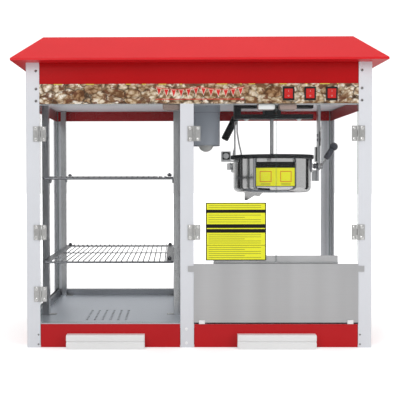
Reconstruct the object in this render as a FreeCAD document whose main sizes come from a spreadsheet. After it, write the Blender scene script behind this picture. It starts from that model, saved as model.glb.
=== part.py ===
# Popcorn maker with a warming cabinet: a roofed glass case with a kettle on the right, shelves on the left.
# Millimetres, +Z up, front towards -Y, origin on the ground under the middle of the cabinet.
import FreeCAD, Part
import math
import os
import Sketcher
from FreeCAD import Vector

SIZES = {
    # cabinet
    "body_width": 820, "body_depth": 376, "body_height": 678,
    "post_leg": 32, "post_sheet": 2, "post_bend": 2.5,
    "centre_post_x": -28, "centre_post_width": 32, "centre_post_return": 20,
    "panel_sheet": 1.2, "seat_gap": 0.3, "slide_gap": 0.3,
    "header_height": 98, "print_height": 47, "side_fascia_drop": 8, "fascia_flange": 30,
    "ceiling_rise": 20, "ceiling_flange": 12, "ceiling_lap": 4,
    # roof
    "roof_side_overhang": 29, "roof_front_overhang": 32, "roof_lip": 5, "roof_rise": 62,
    "roof_slope_run": 65, "roof_sheet": 1.2, "roof_ledge": 40,
    # base and floors
    "base_height": 57, "base_clearance": 1.5, "base_sheet": 1.2, "base_flange": 12,
    "floor_sheet": 1.5, "floor_lip": 11,
    "slot_columns": 6, "slot_rows": 7, "slot_pitch_across": 19, "slot_pitch_along": 17,
    "slot_width": 7, "slot_length": 8.5, "slot_shift": -13, "slot_first_row": 38,
    "crumb_hole": 8, "crumb_pitch": 44, "crumb_columns": 6, "crumb_rows": 4, "crumb_first_row": 110,
    # glass
    "pane_sheet": 4, "sill_width": 14, "sill_height": 16, "sill_wall": 1.2, "sill_floor": 1.5,
    "door_sheet": 5, "door_gap": 1.5, "warmer_door_bottom": 60, "popper_door_bottom": 203,
    "door_split_shift": 1, "door_split_gap": 2, "door_corner": 4,
    # hinges
    "leaf_width": 12, "leaf_height": 36, "leaf_sheet": 1.5, "knuckle_radius": 3, "knuckle_height": 10,
    "knuckle_gap": 0.4, "hinge_pin": 1.3, "pin_clearance": 0.08, "hinge_drop": 71, "hinge_middle": 275,
    "hinge_bottom": 128,
    # shelves
    "upright_leg": 16, "upright_sheet": 1.5, "upright_inset": 3.5, "upright_side_gap": 15.5,
    "upright_front": 89, "upright_rear": 20,
    "perforation_pitch": 20, "perforation_width": 4, "perforation_height": 6, "perforation_margin": 26,
    "lower_shelf_height": 202.5, "upper_shelf_height": 403, "shelf_wire": 3, "shelf_frame": 5,
    "shelf_pitch": 13, "shelf_corner": 5, "shelf_front": 9.5, "shelf_rear": 13, "rail_width": 18,
    "rail_sheet": 1.5, "rail_hole": 2.5, "clip_width": 3.6, "clip_depth": 9,
    "clip_height": 9,
    # guard and drawers
    "guard_bottom": 60, "guard_top": 200, "guard_sheet": 1.2, "guard_strip_top": 219,
    "guard_strip_inset": 47, "guard_step": 6.7, "guard_ear_reach": 14, "guard_ear_bottom": 181,
    "guard_ear_top": 195, "guard_clip_width": 14, "guard_clip_inset": 12, "guard_clip_wall": 2,
    "guard_clip_top": 66, "drawer_gap": 1, "drawer_depth": 316, "drawer_height": 42, "drawer_sheet": 1,
    "drawer_inset": 6, "handle_length": 185, "handle_height": 32.5, "handle_reach": 18,
    "warmer_handle_shift": -10.5, "popper_handle_shift": 0.5,
    # lamp
    "lamp_shift": 39, "lamp_radius": 37, "lamp_length": 111, "lamp_sheet": 1, "lamp_collar": 21,
    "bulb_radius": 20, "bulb_drop": 16, "bulb_neck": 12, "socket_radius": 17, "socket_length": 34,
    # kettle, placed from its pivot
    "kettle_shift": 19.5, "kettle_hang": 165, "kettle_radius": 101.5, "kettle_drop": 69,
    "kettle_rise": 27, "kettle_sheet": 1.5, "kettle_floor_drop": 42, "kettle_edge": 14,
    "trunnion_radius": 4, "bracket_width": 30, "bracket_height": 34, "bracket_reach": 3,
    "rim_overlap": 8, "rim_skirt": 10.5, "lid_sheet": 1.2, "lid_gap": 2.6, "lid_hub": 10,
    "stub_radius": 4.7, "stub_rise": 31, "blade_gap": 10.5, "blade_width": 14, "blade_sheet": 5,
    "shaft_radius": 4.7, "shaft_play": 0.5, "shaft_rise": 32, "shaft_above": 25,
    "collar_radius": 12, "collar_height": 10, "lid_hinge_inner": 45, "lid_hinge_outer": 62,
    "lid_knuckle": 8, "bail_wire": 2, "bail_top_gap": 4, "bail_inset": 8, "bail_width": 21,
    "bail_lean": 4, "hook_outer": 72, "hook_inner": 23, "hook_tip": 5, "hook_drop": 22,
    # hangers, frame and lever
    "frame_left": 101, "frame_right": 108, "frame_depth": 24, "frame_drop": 40, "frame_bar": 12,
    "frame_post": 18, "gear_width": 44, "gear_depth": 32,
    "hanger_left_gap": 9.5, "hanger_left_back": 92, "hanger_left_strip": 14, "hanger_sheet": 3,
    "hanger_eye": 9, "hanger_right_gap": 20, "hanger_right_sheet": 6, "hanger_right_depth": 20,
    "hanger_right_eye": 11, "lever_drop": 22, "lever_lean": 27, "lever_arm": 8, "lever_grip_length": 70,
    "lever_grip_radius": 10, "lever_pin": 3, "lever_offset": 52, "lever_sheet": 5,
    "handle_lean": 33, "handle_rod": 2.5, "handle_rod_length": 10, "handle_grip_length": 40,
    "handle_ball": 11, "handle_hub": 8,
    # switches and fittings
    "switch_rise": 23, "switch_shift": 29, "switch_pitch": 51, "bezel_width": 27, "bezel_height": 32,
    "bezel_sheet": 2, "rocker_width": 19.5, "rocker_height": 22.4, "rocker_play": 0.3, "rocker_swing": 1.2,
    "rocker_pin": 1.5, "switch_depth": 24, "switch_wall": 1, "catch_width": 41, "catch_height": 14,
    "catch_depth": 15, "gland_shift": 117, "gland_drop": 33, "gland_radius": 9, "element_radius": 4,
    "element_half_width": 105, "element_half_depth": 95, "element_bend": 45, "motor_radius": 33,
    "motor_height": 62, "motor_y": 70, "motor_foot": 12,
}

doc = FreeCAD.newDocument("PopcornMaker")
sheet = doc.addObject("Spreadsheet::Sheet", "Dims")


class Size:
    # A length as a spreadsheet formula, together with its present number.
    def __init__(self, formula, number):
        self.formula = formula
        self.number = number

    def __add__(self, other):
        return combined(self, "+", other)

    def __radd__(self, other):
        return combined(other, "+", self)

    def __sub__(self, other):
        return combined(self, "-", other)

    def __rsub__(self, other):
        return combined(other, "-", self)

    def __mul__(self, other):
        return combined(self, "*", other)

    def __rmul__(self, other):
        return combined(other, "*", self)

    def __truediv__(self, other):
        return combined(self, "/", other)

    def __neg__(self):
        return combined(0, "-", self)


def as_size(value):
    return value if isinstance(value, Size) else Size(f"({float(value):.6f})", float(value))


def combined(left, sign, right):
    left, right = as_size(left), as_size(right)
    numbers = {
        "+": left.number + right.number,
        "-": left.number - right.number,
        "*": left.number * right.number,
        "/": left.number / right.number if right.number else 0.0,
    }
    return Size(f"({left.formula} {sign} {right.formula})", numbers[sign])


for row, (name, value) in enumerate(SIZES.items(), 1):
    sheet.set(f"A{row}", name)
    sheet.set(f"B{row}", str(value))
    sheet.setAlias(f"B{row}", name)
doc.recompute()


def dim(name):
    return Size(f"Dims.{name}", float(sheet.get(name)))


# ---- building blocks ----

SUBPARTS = []
CUTS = []


def keep(item):
    SUBPARTS.append(item)
    return item


def bind(item, path, value):
    item.setExpression(path, as_size(value).formula)


def place(item, x, y, z, axis=Vector(0, 0, 1), angle=0):
    item.Placement = FreeCAD.Placement(Vector(), FreeCAD.Rotation(axis, angle))
    for letter, value in zip("xyz", (x, y, z)):
        bind(item, f"Placement.Base.{letter}", value)


def new_body(label, x=0, y=0, z=0, axis=Vector(0, 0, 1), angle=0):
    body = doc.addObject("PartDesign::Body", label)
    body.Label = label
    place(body, x, y, z, axis, angle)
    return body


def sketch_on(body, plane, height=0):
    support = next(item for item in body.Origin.OriginFeatures if item.Role == f"{plane}_Plane")
    sketch = body.newObject("Sketcher::SketchObject", f"{body.Label}_sketch")
    sketch.AttachmentSupport = [(support, "")]
    sketch.MapMode = "FlatFace"
    bind(sketch, "AttachmentOffset.Base.z", height)
    return sketch


def pin_point(sketch, geometry, end, across, up):
    # Ties one sketch point to two driving values measured from the sketch origin.
    for kind, value in (("DistanceX", across), ("DistanceY", up)):
        value = as_size(value)
        index = sketch.addConstraint(Sketcher.Constraint(kind, -1, 1, geometry, end, value.number))
        bind(sketch, f"Constraints[{index}]", value)


def draw_outline(sketch, points):
    corners = [Vector(as_size(u).number, as_size(v).number, 0) for u, v in points]
    first = len(sketch.Geometry)
    count = len(corners)
    for index, corner in enumerate(corners):
        sketch.addGeometry(Part.LineSegment(corner, corners[(index + 1) % count]), False)
    for index in range(count):
        following = first + (index + 1) % count
        sketch.addConstraint(Sketcher.Constraint("Coincident", first + index, 2, following, 1))
    for index, (u, v) in enumerate(points):
        pin_point(sketch, first + index, 1, u, v)


def draw_circle(sketch, u, v, radius):
    u, v, radius = as_size(u), as_size(v), as_size(radius)
    circle = Part.Circle(Vector(u.number, v.number, 0), Vector(0, 0, 1), radius.number)
    geometry = sketch.addGeometry(circle, False)
    pin_point(sketch, geometry, 3, u, v)
    index = sketch.addConstraint(Sketcher.Constraint("Radius", geometry, radius.number))
    bind(sketch, f"Constraints[{index}]", radius)


def draw_slot(sketch, u, v, length, width):
    # A slot with round ends, its long axis along the sketch's second direction.
    u, v = as_size(u), as_size(v)
    radius = as_size(width) / 2
    reach = as_size(length) / 2 - radius
    top, low = v + reach, v - reach
    east, west, r = u.number + radius.number, u.number - radius.number, radius.number
    axis = Vector(0, 0, 1)
    arcs = {}

    def side(x, start, stop):
        return sketch.addGeometry(Part.LineSegment(Vector(x, start, 0), Vector(x, stop, 0)), False)

    right = side(east, low.number, top.number)
    circle = Part.Circle(Vector(u.number, top.number, 0), axis, r)
    arcs[sketch.addGeometry(Part.ArcOfCircle(circle, 0, math.pi), False)] = top
    left = side(west, top.number, low.number)
    circle = Part.Circle(Vector(u.number, low.number, 0), axis, r)
    arcs[sketch.addGeometry(Part.ArcOfCircle(circle, math.pi, 2 * math.pi), False)] = low
    upper, lower = arcs
    for one, other in ((right, upper), (upper, left), (left, lower), (lower, right)):
        sketch.addConstraint(Sketcher.Constraint("Tangent", one, 2, other, 1))
    for arc, height in arcs.items():
        pin_point(sketch, arc, 3, u, height)
        index = sketch.addConstraint(Sketcher.Constraint("Radius", arc, r))
        bind(sketch, f"Constraints[{index}]", radius)


def rectangle(u0, v0, u1, v1):
    return [(u0, v0), (u1, v0), (u1, v1), (u0, v1)]


def extrude(body, plane, draw, low, high):
    # Pads what draw() puts on the plane, from low to high along the plane's own axis.
    low, high = as_size(low), as_size(high)
    sketch = sketch_on(body, plane, -high if plane == "XZ" else low)
    draw(sketch)
    pad = body.newObject("PartDesign::Pad", f"{body.Label}_pad")
    pad.Profile = sketch
    bind(pad, "Length", high - low)
    return pad


def pocket(body, plane, draw, low, high):
    # Cuts what draw() puts on the plane, from high down to low along the plane's own axis.
    low, high = as_size(low), as_size(high)
    before = body.Tip
    sketch = sketch_on(body, plane, -low if plane == "XZ" else high)
    draw(sketch)
    hole = body.newObject("PartDesign::Pocket", f"{body.Label}_pocket")
    hole.Profile = sketch
    bind(hole, "Length", high - low)
    CUTS.append((before, hole))
    return hole


def solid_prism(body, plane, points, low, high):
    return extrude(body, plane, lambda sketch: draw_outline(sketch, points), low, high)


def cut_prism(body, plane, points, low, high):
    return pocket(body, plane, lambda sketch: draw_outline(sketch, points), low, high)


def cut_hole(body, plane, u, v, radius, low, high):
    return pocket(body, plane, lambda sketch: draw_circle(sketch, u, v, radius), low, high)


def turned(body, points):
    # Revolves a half profile of radius and height about the body's own vertical axis.
    sketch = sketch_on(body, "XZ")
    draw_outline(sketch, points)
    revolution = body.newObject("PartDesign::Revolution", f"{body.Label}_turned")
    revolution.Profile = sketch
    revolution.ReferenceAxis = (sketch, ["V_Axis"])
    revolution.Angle = 360
    return revolution


def round_edges(body, radius, chosen):
    # Fillets those edges of the tip for which chosen(edge) holds.
    doc.recompute()
    base = body.Tip
    names = [f"Edge{index}" for index, edge in enumerate(base.Shape.Edges, 1) if chosen(edge)]
    fillet = body.newObject("PartDesign::Fillet", f"{body.Label}_fillet")
    fillet.Base = (base, names)
    bind(fillet, "Radius", radius)
    return fillet


def is_upright(edge):
    low, high = edge.BoundBox.ZMin, edge.BoundBox.ZMax
    return edge.BoundBox.XLength < 1e-6 and edge.BoundBox.YLength < 1e-6 and high - low > 1e-3


def grid(body, feature, steps, counts, pitches):
    # Repeats a feature along two directions of its sketch.
    pattern = body.newObject("PartDesign::LinearPattern", f"{body.Label}_grid")
    pattern.Originals = [feature]
    pattern.Direction = (feature.Profile[0], [steps[0]])
    pattern.Direction2 = (feature.Profile[0], [steps[1]])
    bind(pattern, "Occurrences", counts[0])
    bind(pattern, "Occurrences2", counts[1])
    bind(pattern, "Length", (as_size(counts[0]) - 1) * pitches[0])
    bind(pattern, "Length2", (as_size(counts[1]) - 1) * pitches[1])
    body.Tip = pattern
    return pattern


def block(label, low, high):
    # A box between two opposite corners.
    low, high = [as_size(v) for v in low], [as_size(v) for v in high]
    box = doc.addObject("Part::Box", label)
    box.Label = label
    for path, start, stop in zip(("Length", "Width", "Height"), low, high):
        bind(box, path, stop - start)
    place(box, *low)
    return box


TURNS = {"X": (Vector(0, 1, 0), 90), "Y": (Vector(1, 0, 0), -90), "Z": (Vector(0, 0, 1), 0)}


def rod(label, start, direction, length, radius):
    # A round bar from its start point along +X, +Y or +Z.
    bar = doc.addObject("Part::Cylinder", label)
    bar.Label = label
    bind(bar, "Radius", radius)
    bind(bar, "Height", length)
    place(bar, *start, *TURNS[direction])
    return bar


def fused(label, pieces):
    union = doc.addObject("Part::MultiFuse", label)
    union.Label = label
    union.Shapes = pieces
    return union


def without(label, base, tool):
    cut = doc.addObject("Part::Cut", label)
    cut.Label = label
    cut.Base = base
    cut.Tool = tool
    CUTS.append((base, cut))
    return cut


def group(label, pieces):
    # Identical pieces that share one file stay separate solids.
    compound = doc.addObject("Part::Compound", label)
    compound.Label = label
    compound.Links = pieces
    return compound


def bent_rod(label, points, radius, bend, closed=False):
    # A round bar along straight runs that are joined by tangent arcs.
    corners = [Vector(*[as_size(v).number for v in point]) for point in points]
    count = len(corners)
    bend, radius = as_size(bend).number, as_size(radius).number
    inner = range(count) if closed else range(1, count - 1)
    joints = {}
    for index in inner:
        corner, before, after = corners[index], corners[index - 1], corners[(index + 1) % count]
        back, ahead = (before - corner).normalize(), (after - corner).normalize()
        trim = bend / math.tan(back.getAngle(ahead) / 2)
        middle = (back + ahead).normalize()
        depth = math.hypot(trim, bend) - bend
        joints[index] = (corner + back * trim, corner + middle * depth, corner + ahead * trim)
    edges = []
    for index in range(count if closed else count - 1):
        following = (index + 1) % count
        start = joints[index][2] if index in joints else corners[index]
        stop = joints[following][0] if following in joints else corners[following]
        edges.append(Part.LineSegment(start, stop).toShape())
        if following in joints:
            edges.append(Part.Arc(*joints[following]).toShape())
    path = Part.Wire(edges)
    start = edges[0].Vertexes[0].Point
    heading = edges[0].tangentAt(edges[0].FirstParameter)
    ring = Part.Wire([Part.Circle(start, heading, radius).toShape()])
    bar = doc.addObject("Part::Feature", label)
    bar.Label = label
    bar.Shape = path.makePipeShell([ring], True, False)
    return bar


# ---- places shared by several sub-parts ----

half_width = dim("body_width") / 2
half_depth = dim("body_depth") / 2
post_inner = half_width - dim("post_leg")
panel_x = half_width - dim("post_sheet")
panel_inner_x = panel_x - dim("panel_sheet")
panel_y = half_depth - dim("post_sheet")
panel_inner_y = panel_y - dim("panel_sheet")
seat = dim("seat_gap")
centre_x = dim("centre_post_x")
centre_left = centre_x - dim("centre_post_width") / 2
centre_right = centre_x + dim("centre_post_width") / 2
centre_back = -half_depth + dim("centre_post_return")
popper_middle = (centre_right + post_inner) / 2
warmer_middle = (centre_left - post_inner) / 2
window_top = dim("body_height") - dim("header_height")
print_top = window_top + dim("print_height")
side_bottom = window_top - dim("side_fascia_drop")
switch_z = window_top + dim("switch_rise")
ceiling = window_top + dim("ceiling_rise")
floor_low = dim("base_height")
floor_top = floor_low + dim("floor_sheet")
sill_outer_x = panel_inner_x - seat
sill_outer_y = panel_inner_y - seat
sill_inner_x = sill_outer_x - dim("sill_width")
sill_inner_y = sill_outer_y - dim("sill_width")
slot_outer_x = sill_outer_x - dim("sill_wall")
slot_outer_y = sill_outer_y - dim("sill_wall")
pane_bottom = floor_top + dim("sill_floor")
pane_top = ceiling - seat
divider_half = dim("sill_width") / 2
flange_back = -panel_inner_y + dim("fascia_flange")
front = -half_depth
door_split = popper_middle + dim("door_split_shift")
slot_middle = warmer_middle + dim("slot_shift")
lamp_x = centre_right + dim("lamp_shift")
lamp_low = ceiling - dim("lamp_length")
frame_low = ceiling - dim("frame_drop")
frame_mid = frame_low + dim("frame_bar")
frame_high = ceiling - dim("frame_bar")
kettle_x = popper_middle + dim("kettle_shift")
pivot = ceiling - dim("kettle_hang")
kettle_low = pivot - dim("kettle_drop")
kettle_floor = pivot - dim("kettle_floor_drop")
kettle_top = pivot + dim("kettle_rise")
rim_radius = dim("kettle_radius") + dim("rim_overlap")
hanger_left_x = kettle_x - dim("kettle_radius") - dim("hanger_left_gap")
hanger_right_x = kettle_x + dim("kettle_radius") + dim("hanger_right_gap")
lever_x = kettle_x - dim("frame_left") + dim("frame_post") * 0.8
lever_z = ceiling - dim("lever_drop")
gland_x = popper_middle + dim("gland_shift")
gland_z = dim("body_height") - dim("gland_drop")


# ---- cabinet sheet metal ----

def corner_post(label, side, end, angle):
    post = new_body(label, half_width * side, half_depth * end, 0, Vector(0, 0, 1), angle)
    leg, wall = dim("post_leg"), dim("post_sheet")
    outline = [(0, 0), (leg, 0), (leg, wall), (wall, wall), (wall, leg), (0, leg)]
    solid_prism(post, "XY", outline, 0, dim("body_height"))

    def bend(edge):
        corner = edge.Vertexes[0]
        return is_upright(edge) and math.hypot(corner.X, corner.Y) < 1e-6

    round_edges(post, dim("post_bend"), bend)
    return keep(post)


def front_centre_post():
    post = new_body("post_centre_front", centre_x, front)
    half, deep, wall = dim("centre_post_width") / 2, dim("centre_post_return"), dim("post_sheet")
    outline = [(-half, 0), (half, 0), (half, deep), (half - wall, deep), (half - wall, wall),
               (wall - half, wall), (wall - half, deep), (-half, deep)]
    solid_prism(post, "XY", outline, 0, window_top)
    return keep(post)


def rear_centre_post():
    far_corner = (centre_right, half_depth, dim("body_height"))
    return keep(block("post_centre_rear", (centre_left, panel_y, 0), far_corner))


def roof():
    shell = new_body("roof", 0, 0, dim("body_height"))
    lip, rise, run, wall = dim("roof_lip"), dim("roof_rise"), dim("roof_slope_run"), dim("roof_sheet")
    out_x = half_width + dim("roof_side_overhang")
    out_y = half_depth + dim("roof_front_overhang")

    def level(inset, height):
        sketch = sketch_on(shell, "XY", height)
        draw_outline(sketch, rectangle(inset - out_x, inset - out_y, out_x - inset, out_y - inset))
        return sketch

    solid_prism(shell, "XY", rectangle(-out_x, -out_y, out_x, out_y), 0, lip)
    hip = shell.newObject("PartDesign::AdditiveLoft", "roof_hip")
    hip.Profile = level(0, lip)
    hip.Sections = [level(run, lip + rise)]
    hip.Ruled = True
    cut_prism(shell, "XY", rectangle(wall - out_x, wall - out_y, out_x - wall, out_y - wall), wall, lip)
    hollow = shell.newObject("PartDesign::SubtractiveLoft", "roof_hollow")
    hollow.Profile = level(wall, lip)
    hollow.Sections = [level(run + wall / 2, lip + rise - wall)]
    hollow.Ruled = True
    CUTS.append((hip, hollow))
    open_x = half_width - dim("roof_ledge")
    open_y = half_depth - dim("roof_ledge")
    cut_prism(shell, "XY", rectangle(-open_x, -open_y, open_x, open_y), 0, wall)
    return keep(shell)


def switch_centres():
    first = popper_middle + dim("switch_shift")
    return [first + dim("switch_pitch") * index for index in range(3)]


def switch_window(x, clearance):
    half_x = dim("rocker_width") / 2 + dim("rocker_play") + dim("switch_wall") + clearance
    half_z = dim("rocker_height") / 2 + dim("rocker_swing") + dim("switch_wall") + clearance
    middle = switch_z
    return rectangle(x - half_x, middle - half_z, x + half_x, middle + half_z)


def front_fascia():
    panel = new_body("fascia_front")
    top = dim("body_height")
    wall = dim("panel_sheet")
    reach = slot_outer_x - dim("pane_sheet") - 2 * seat
    plate = rectangle(-panel_x, window_top, panel_x, top)
    solid_prism(panel, "XZ", plate, -panel_y, -panel_inner_y)
    for low in (window_top, top - wall):
        solid_prism(panel, "XZ", rectangle(-reach, low, reach, low + wall), -panel_inner_y, flange_back)
    for x in switch_centres():
        cut_prism(panel, "XZ", switch_window(x, seat), -panel_y, -panel_inner_y)
    return keep(panel)


def rear_fascia():
    panel = new_body("fascia_rear")
    top = dim("body_height")
    plate = rectangle(-panel_x, side_bottom, panel_x, top)
    solid_prism(panel, "XZ", plate, panel_inner_y, panel_y)
    back = panel_inner_y - dim("fascia_flange")
    flange = rectangle(-sill_inner_x, top - dim("panel_sheet"), sill_inner_x, top)
    solid_prism(panel, "XZ", flange, back, panel_inner_y)
    cut_hole(panel, "XZ", gland_x, gland_z, dim("gland_radius"), panel_inner_y, panel_y)
    return keep(panel)


def side_fascias():
    bottom, top = side_bottom, dim("body_height")
    pieces = [
        block("fascia_side_left", (-panel_x, -sill_outer_y, bottom), (-panel_inner_x, sill_outer_y, top)),
        block("fascia_side_right", (panel_inner_x, -sill_outer_y, bottom), (panel_x, sill_outer_y, top)),
    ]
    return keep(group("fascia_sides", pieces))


def print_panel():
    panel = new_body("print_panel")
    edge = post_inner - seat
    solid_prism(panel, "XZ", rectangle(-edge, window_top, edge, print_top), front, -panel_y)
    for x in switch_centres():
        cut_prism(panel, "XZ", switch_window(x, seat), front, -panel_y)
    return keep(panel)


def ceiling_plate():
    # Sheet with upturned sides and back; its front edge turns down on to the fascia's lower flange.
    tray = new_body("ceiling_plate")
    wall, rise = dim("panel_sheet"), dim("ceiling_flange")
    front_edge = flange_back - dim("ceiling_lap")
    edge = rectangle(-panel_inner_x, front_edge, panel_inner_x, panel_inner_y)
    solid_prism(tray, "XY", edge, ceiling, ceiling + wall + rise)
    inner_x, inner_y = panel_inner_x - wall, panel_inner_y - wall
    well = rectangle(-inner_x, front_edge, inner_x, inner_y)
    cut_prism(tray, "XY", well, ceiling + wall, ceiling + wall + rise)
    reach = slot_outer_x - dim("pane_sheet") - 2 * seat
    lip = rectangle(-reach, window_top + wall, reach, ceiling)
    solid_prism(tray, "XZ", lip, front_edge, front_edge + wall)
    bore = dim("shaft_radius") + dim("shaft_play")
    cut_hole(tray, "XY", kettle_x, 0, bore, ceiling, ceiling + wall)
    return keep(tray)


def base_frame():
    base = new_body("base_frame")
    wall, low, high, lap = dim("base_sheet"), dim("base_clearance"), floor_low, dim("base_flange")
    inner = panel_x - wall
    section = [(-panel_x, low), (panel_x, low), (panel_x, high), (inner - lap, high),
               (inner - lap, high - wall), (inner, high - wall), (inner, low + wall), (-inner, low + wall),
               (-inner, high - wall), (lap - inner, high - wall), (lap - inner, high), (-panel_x, high)]
    solid_prism(base, "XZ", section, centre_back + seat, panel_y - wall)
    solid_prism(base, "XZ", rectangle(-panel_x, low, panel_x, high), panel_y - wall, panel_y)
    ledge = rectangle(-inner, high - wall, inner, high)
    solid_prism(base, "XZ", ledge, panel_y - wall - lap, panel_y - wall)
    web_left, web_right = centre_x - wall / 2, centre_x + wall / 2
    web = [(web_left, low + wall), (web_right, low + wall), (web_right, high - wall),
           (centre_x + lap, high - wall), (centre_x + lap, high), (centre_x - lap, high),
           (centre_x - lap, high - wall), (web_left, high - wall)]
    solid_prism(base, "XZ", web, centre_back + seat, panel_y - wall - lap)
    return keep(base)


def floor_plate(label, outer, inner, post_edge):
    # A plate notched round the centre post, with a lip folded down behind the drawer front.
    plate = new_body(label)
    edge_y = panel_y - seat
    behind_post = centre_back + seat
    outline = [(outer, -edge_y), (post_edge, -edge_y), (post_edge, behind_post), (inner, behind_post),
               (inner, sill_outer_y), (outer, sill_outer_y)]
    solid_prism(plate, "XY", outline, floor_low, floor_top)
    lip_edge = post_inner - dim("drawer_gap")
    lip_outer = lip_edge if as_size(outer).number > 0 else -lip_edge
    lip = rectangle(lip_outer, floor_low - dim("floor_lip"), post_edge, floor_low)
    solid_prism(plate, "XZ", lip, -edge_y, -edge_y + dim("floor_sheet"))
    return plate


def warmer_floor():
    plate = floor_plate("warmer_floor", -sill_outer_x, centre_x - seat / 2, centre_left - seat)
    first_x = slot_middle - dim("slot_pitch_across") * (dim("slot_columns") - 1) / 2
    first_y = front + dim("slot_first_row")

    def slot_shape(sketch):
        draw_slot(sketch, first_x, first_y, dim("slot_length"), dim("slot_width"))

    slot = pocket(plate, "XY", slot_shape, floor_low, floor_top)
    grid(plate, slot, ("H_Axis", "V_Axis"), (dim("slot_columns"), dim("slot_rows")),
         (dim("slot_pitch_across"), dim("slot_pitch_along")))
    return keep(plate)


def popper_floor():
    plate = floor_plate("popper_floor", sill_outer_x, centre_x + seat / 2, centre_right + seat)
    pitch = dim("crumb_pitch")
    first_x = (centre_right + post_inner) / 2 - pitch * (dim("crumb_columns") - 1) / 2
    first_y = front + dim("crumb_first_row")
    hole = cut_hole(plate, "XY", first_x, first_y, dim("crumb_hole") / 2, floor_low, floor_top)
    grid(plate, hole, ("H_Axis", "V_Axis"), (dim("crumb_columns"), dim("crumb_rows")), (pitch, pitch))
    return keep(plate)


# ---- glass and its sills ----

def sill_section(length_sign):
    # Section of a glazing rail: outer wall, slot for the pane, solid inner part.
    width, height, wall = dim("sill_width"), dim("sill_height"), dim("sill_wall")
    slot = dim("pane_sheet") + 2 * seat
    sill_floor = dim("sill_floor")
    points = [(0, 0), (width, 0), (width, height), (wall + slot, height), (wall + slot, sill_floor),
              (wall, sill_floor), (wall, height), (0, height)]
    return [(u * length_sign, v) for u, v in points]


def glass_sills():
    left = new_body("sill_left", -sill_outer_x, 0, floor_top)
    solid_prism(left, "XZ", sill_section(1), -sill_outer_y, sill_outer_y)
    right = new_body("sill_right", sill_outer_x, 0, floor_top)
    solid_prism(right, "XZ", sill_section(-1), -sill_outer_y, sill_outer_y)
    middle = new_body("sill_divider", centre_x, 0, floor_top)
    half, height, slot = divider_half, dim("sill_height"), dim("pane_sheet") / 2 + seat
    section = [(-half, 0), (half, 0), (half, height), (slot, height), (slot, dim("sill_floor")),
               (-slot, dim("sill_floor")), (-slot, height), (-half, height)]
    solid_prism(middle, "XZ", section, centre_back + seat, sill_outer_y)
    rears = []
    for label, low, high in (("sill_rear_left", -sill_inner_x + seat, centre_x - divider_half - seat),
                             ("sill_rear_right", centre_x + divider_half + seat, sill_inner_x - seat)):
        rear = new_body(label, 0, sill_outer_y, floor_top)
        solid_prism(rear, "YZ", sill_section(-1), low, high)
        rears.append(rear)
    return keep(group("glass_sills", [left, right, middle] + rears))


def panes():
    thick = dim("pane_sheet")
    outer, deep = slot_outer_x - seat, sill_outer_y
    keep(group("glass_sides", [
        block("glass_left", (-outer, -deep, pane_bottom), (thick - outer, deep, pane_top)),
        block("glass_right", (outer - thick, -deep, pane_bottom), (outer, deep, pane_top)),
    ]))
    back = slot_outer_y - seat
    left_edge, right_edge = sill_inner_x - seat, centre_x - divider_half - seat
    right_start = centre_x + divider_half + seat
    keep(group("glass_rears", [
        block("glass_rear_left", (-left_edge, back - thick, pane_bottom), (right_edge, back, pane_top)),
        block("glass_rear_right", (right_start, back - thick, pane_bottom), (left_edge, back, pane_top)),
    ]))
    divider = new_body("divider_glass")
    near, step, low_top = centre_back + seat, flange_back + seat, window_top - seat
    outline = [(near, pane_bottom), (sill_outer_y, pane_bottom), (sill_outer_y, pane_top), (step, pane_top),
               (step, low_top), (near, low_top)]
    solid_prism(divider, "YZ", outline, centre_x - thick / 2, centre_x + thick / 2)
    keep(divider)


# ---- doors and hinges ----

def door(label, left, right, bottom):
    pane = new_body(label)
    outline = rectangle(left, bottom, right, window_top - dim("door_gap"))
    solid_prism(pane, "XZ", outline, front, front + dim("door_sheet"))

    def corner(edge):
        box = edge.BoundBox
        return box.XLength < 1e-6 and box.ZLength < 1e-6 and box.YLength > 1e-3

    round_edges(pane, dim("door_corner"), corner)
    return keep(pane)


def hinge_axis_y():
    return front - dim("knuckle_radius") - dim("seat_gap") * 0.7


def leaf(label, axis_x, height, side, knuckles, moving):
    # Leaf on the side given by its sign; knuckles are pairs of heights measured from the hinge's middle.
    radius, sheet_, wide = dim("knuckle_radius"), dim("leaf_sheet"), dim("leaf_width")
    relief = radius + seat
    near, far = axis_x + relief * side, axis_x + (relief + wide) * side
    low_x, high_x = (near, far) if side > 0 else (far, near)
    half = dim("leaf_height") / 2
    plate_low, plate_high = (low_x, front - sheet_, height - half), (high_x, front, height + half)
    pieces = [block(f"{label}_plate", plate_low, plate_high)]
    tab_low, tab_high = (axis_x, near) if side > 0 else (near, axis_x)
    axis_y = hinge_axis_y()
    for index, (low, high) in enumerate(knuckles):
        tab = block(f"{label}_tab_{index}", (tab_low, front - sheet_, height + low),
                    (tab_high, front - seat * 0.7, height + high))
        barrel = rod(f"{label}_barrel_{index}", (axis_x, axis_y, height + low), "Z", high - low, radius)
        pieces += [tab, barrel]
    if moving:
        solid = fused(f"{label}_solid", pieces)
        bore_radius = dim("hinge_pin") + dim("pin_clearance")
        bore = rod(f"{label}_bore", (axis_x, axis_y, height - half), "Z", half * 2, bore_radius)
        return without(label, solid, bore)
    pin = rod(f"{label}_pin", (axis_x, axis_y, height - half), "Z", half * 2, dim("hinge_pin"))
    return fused(label, pieces + [pin])


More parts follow.
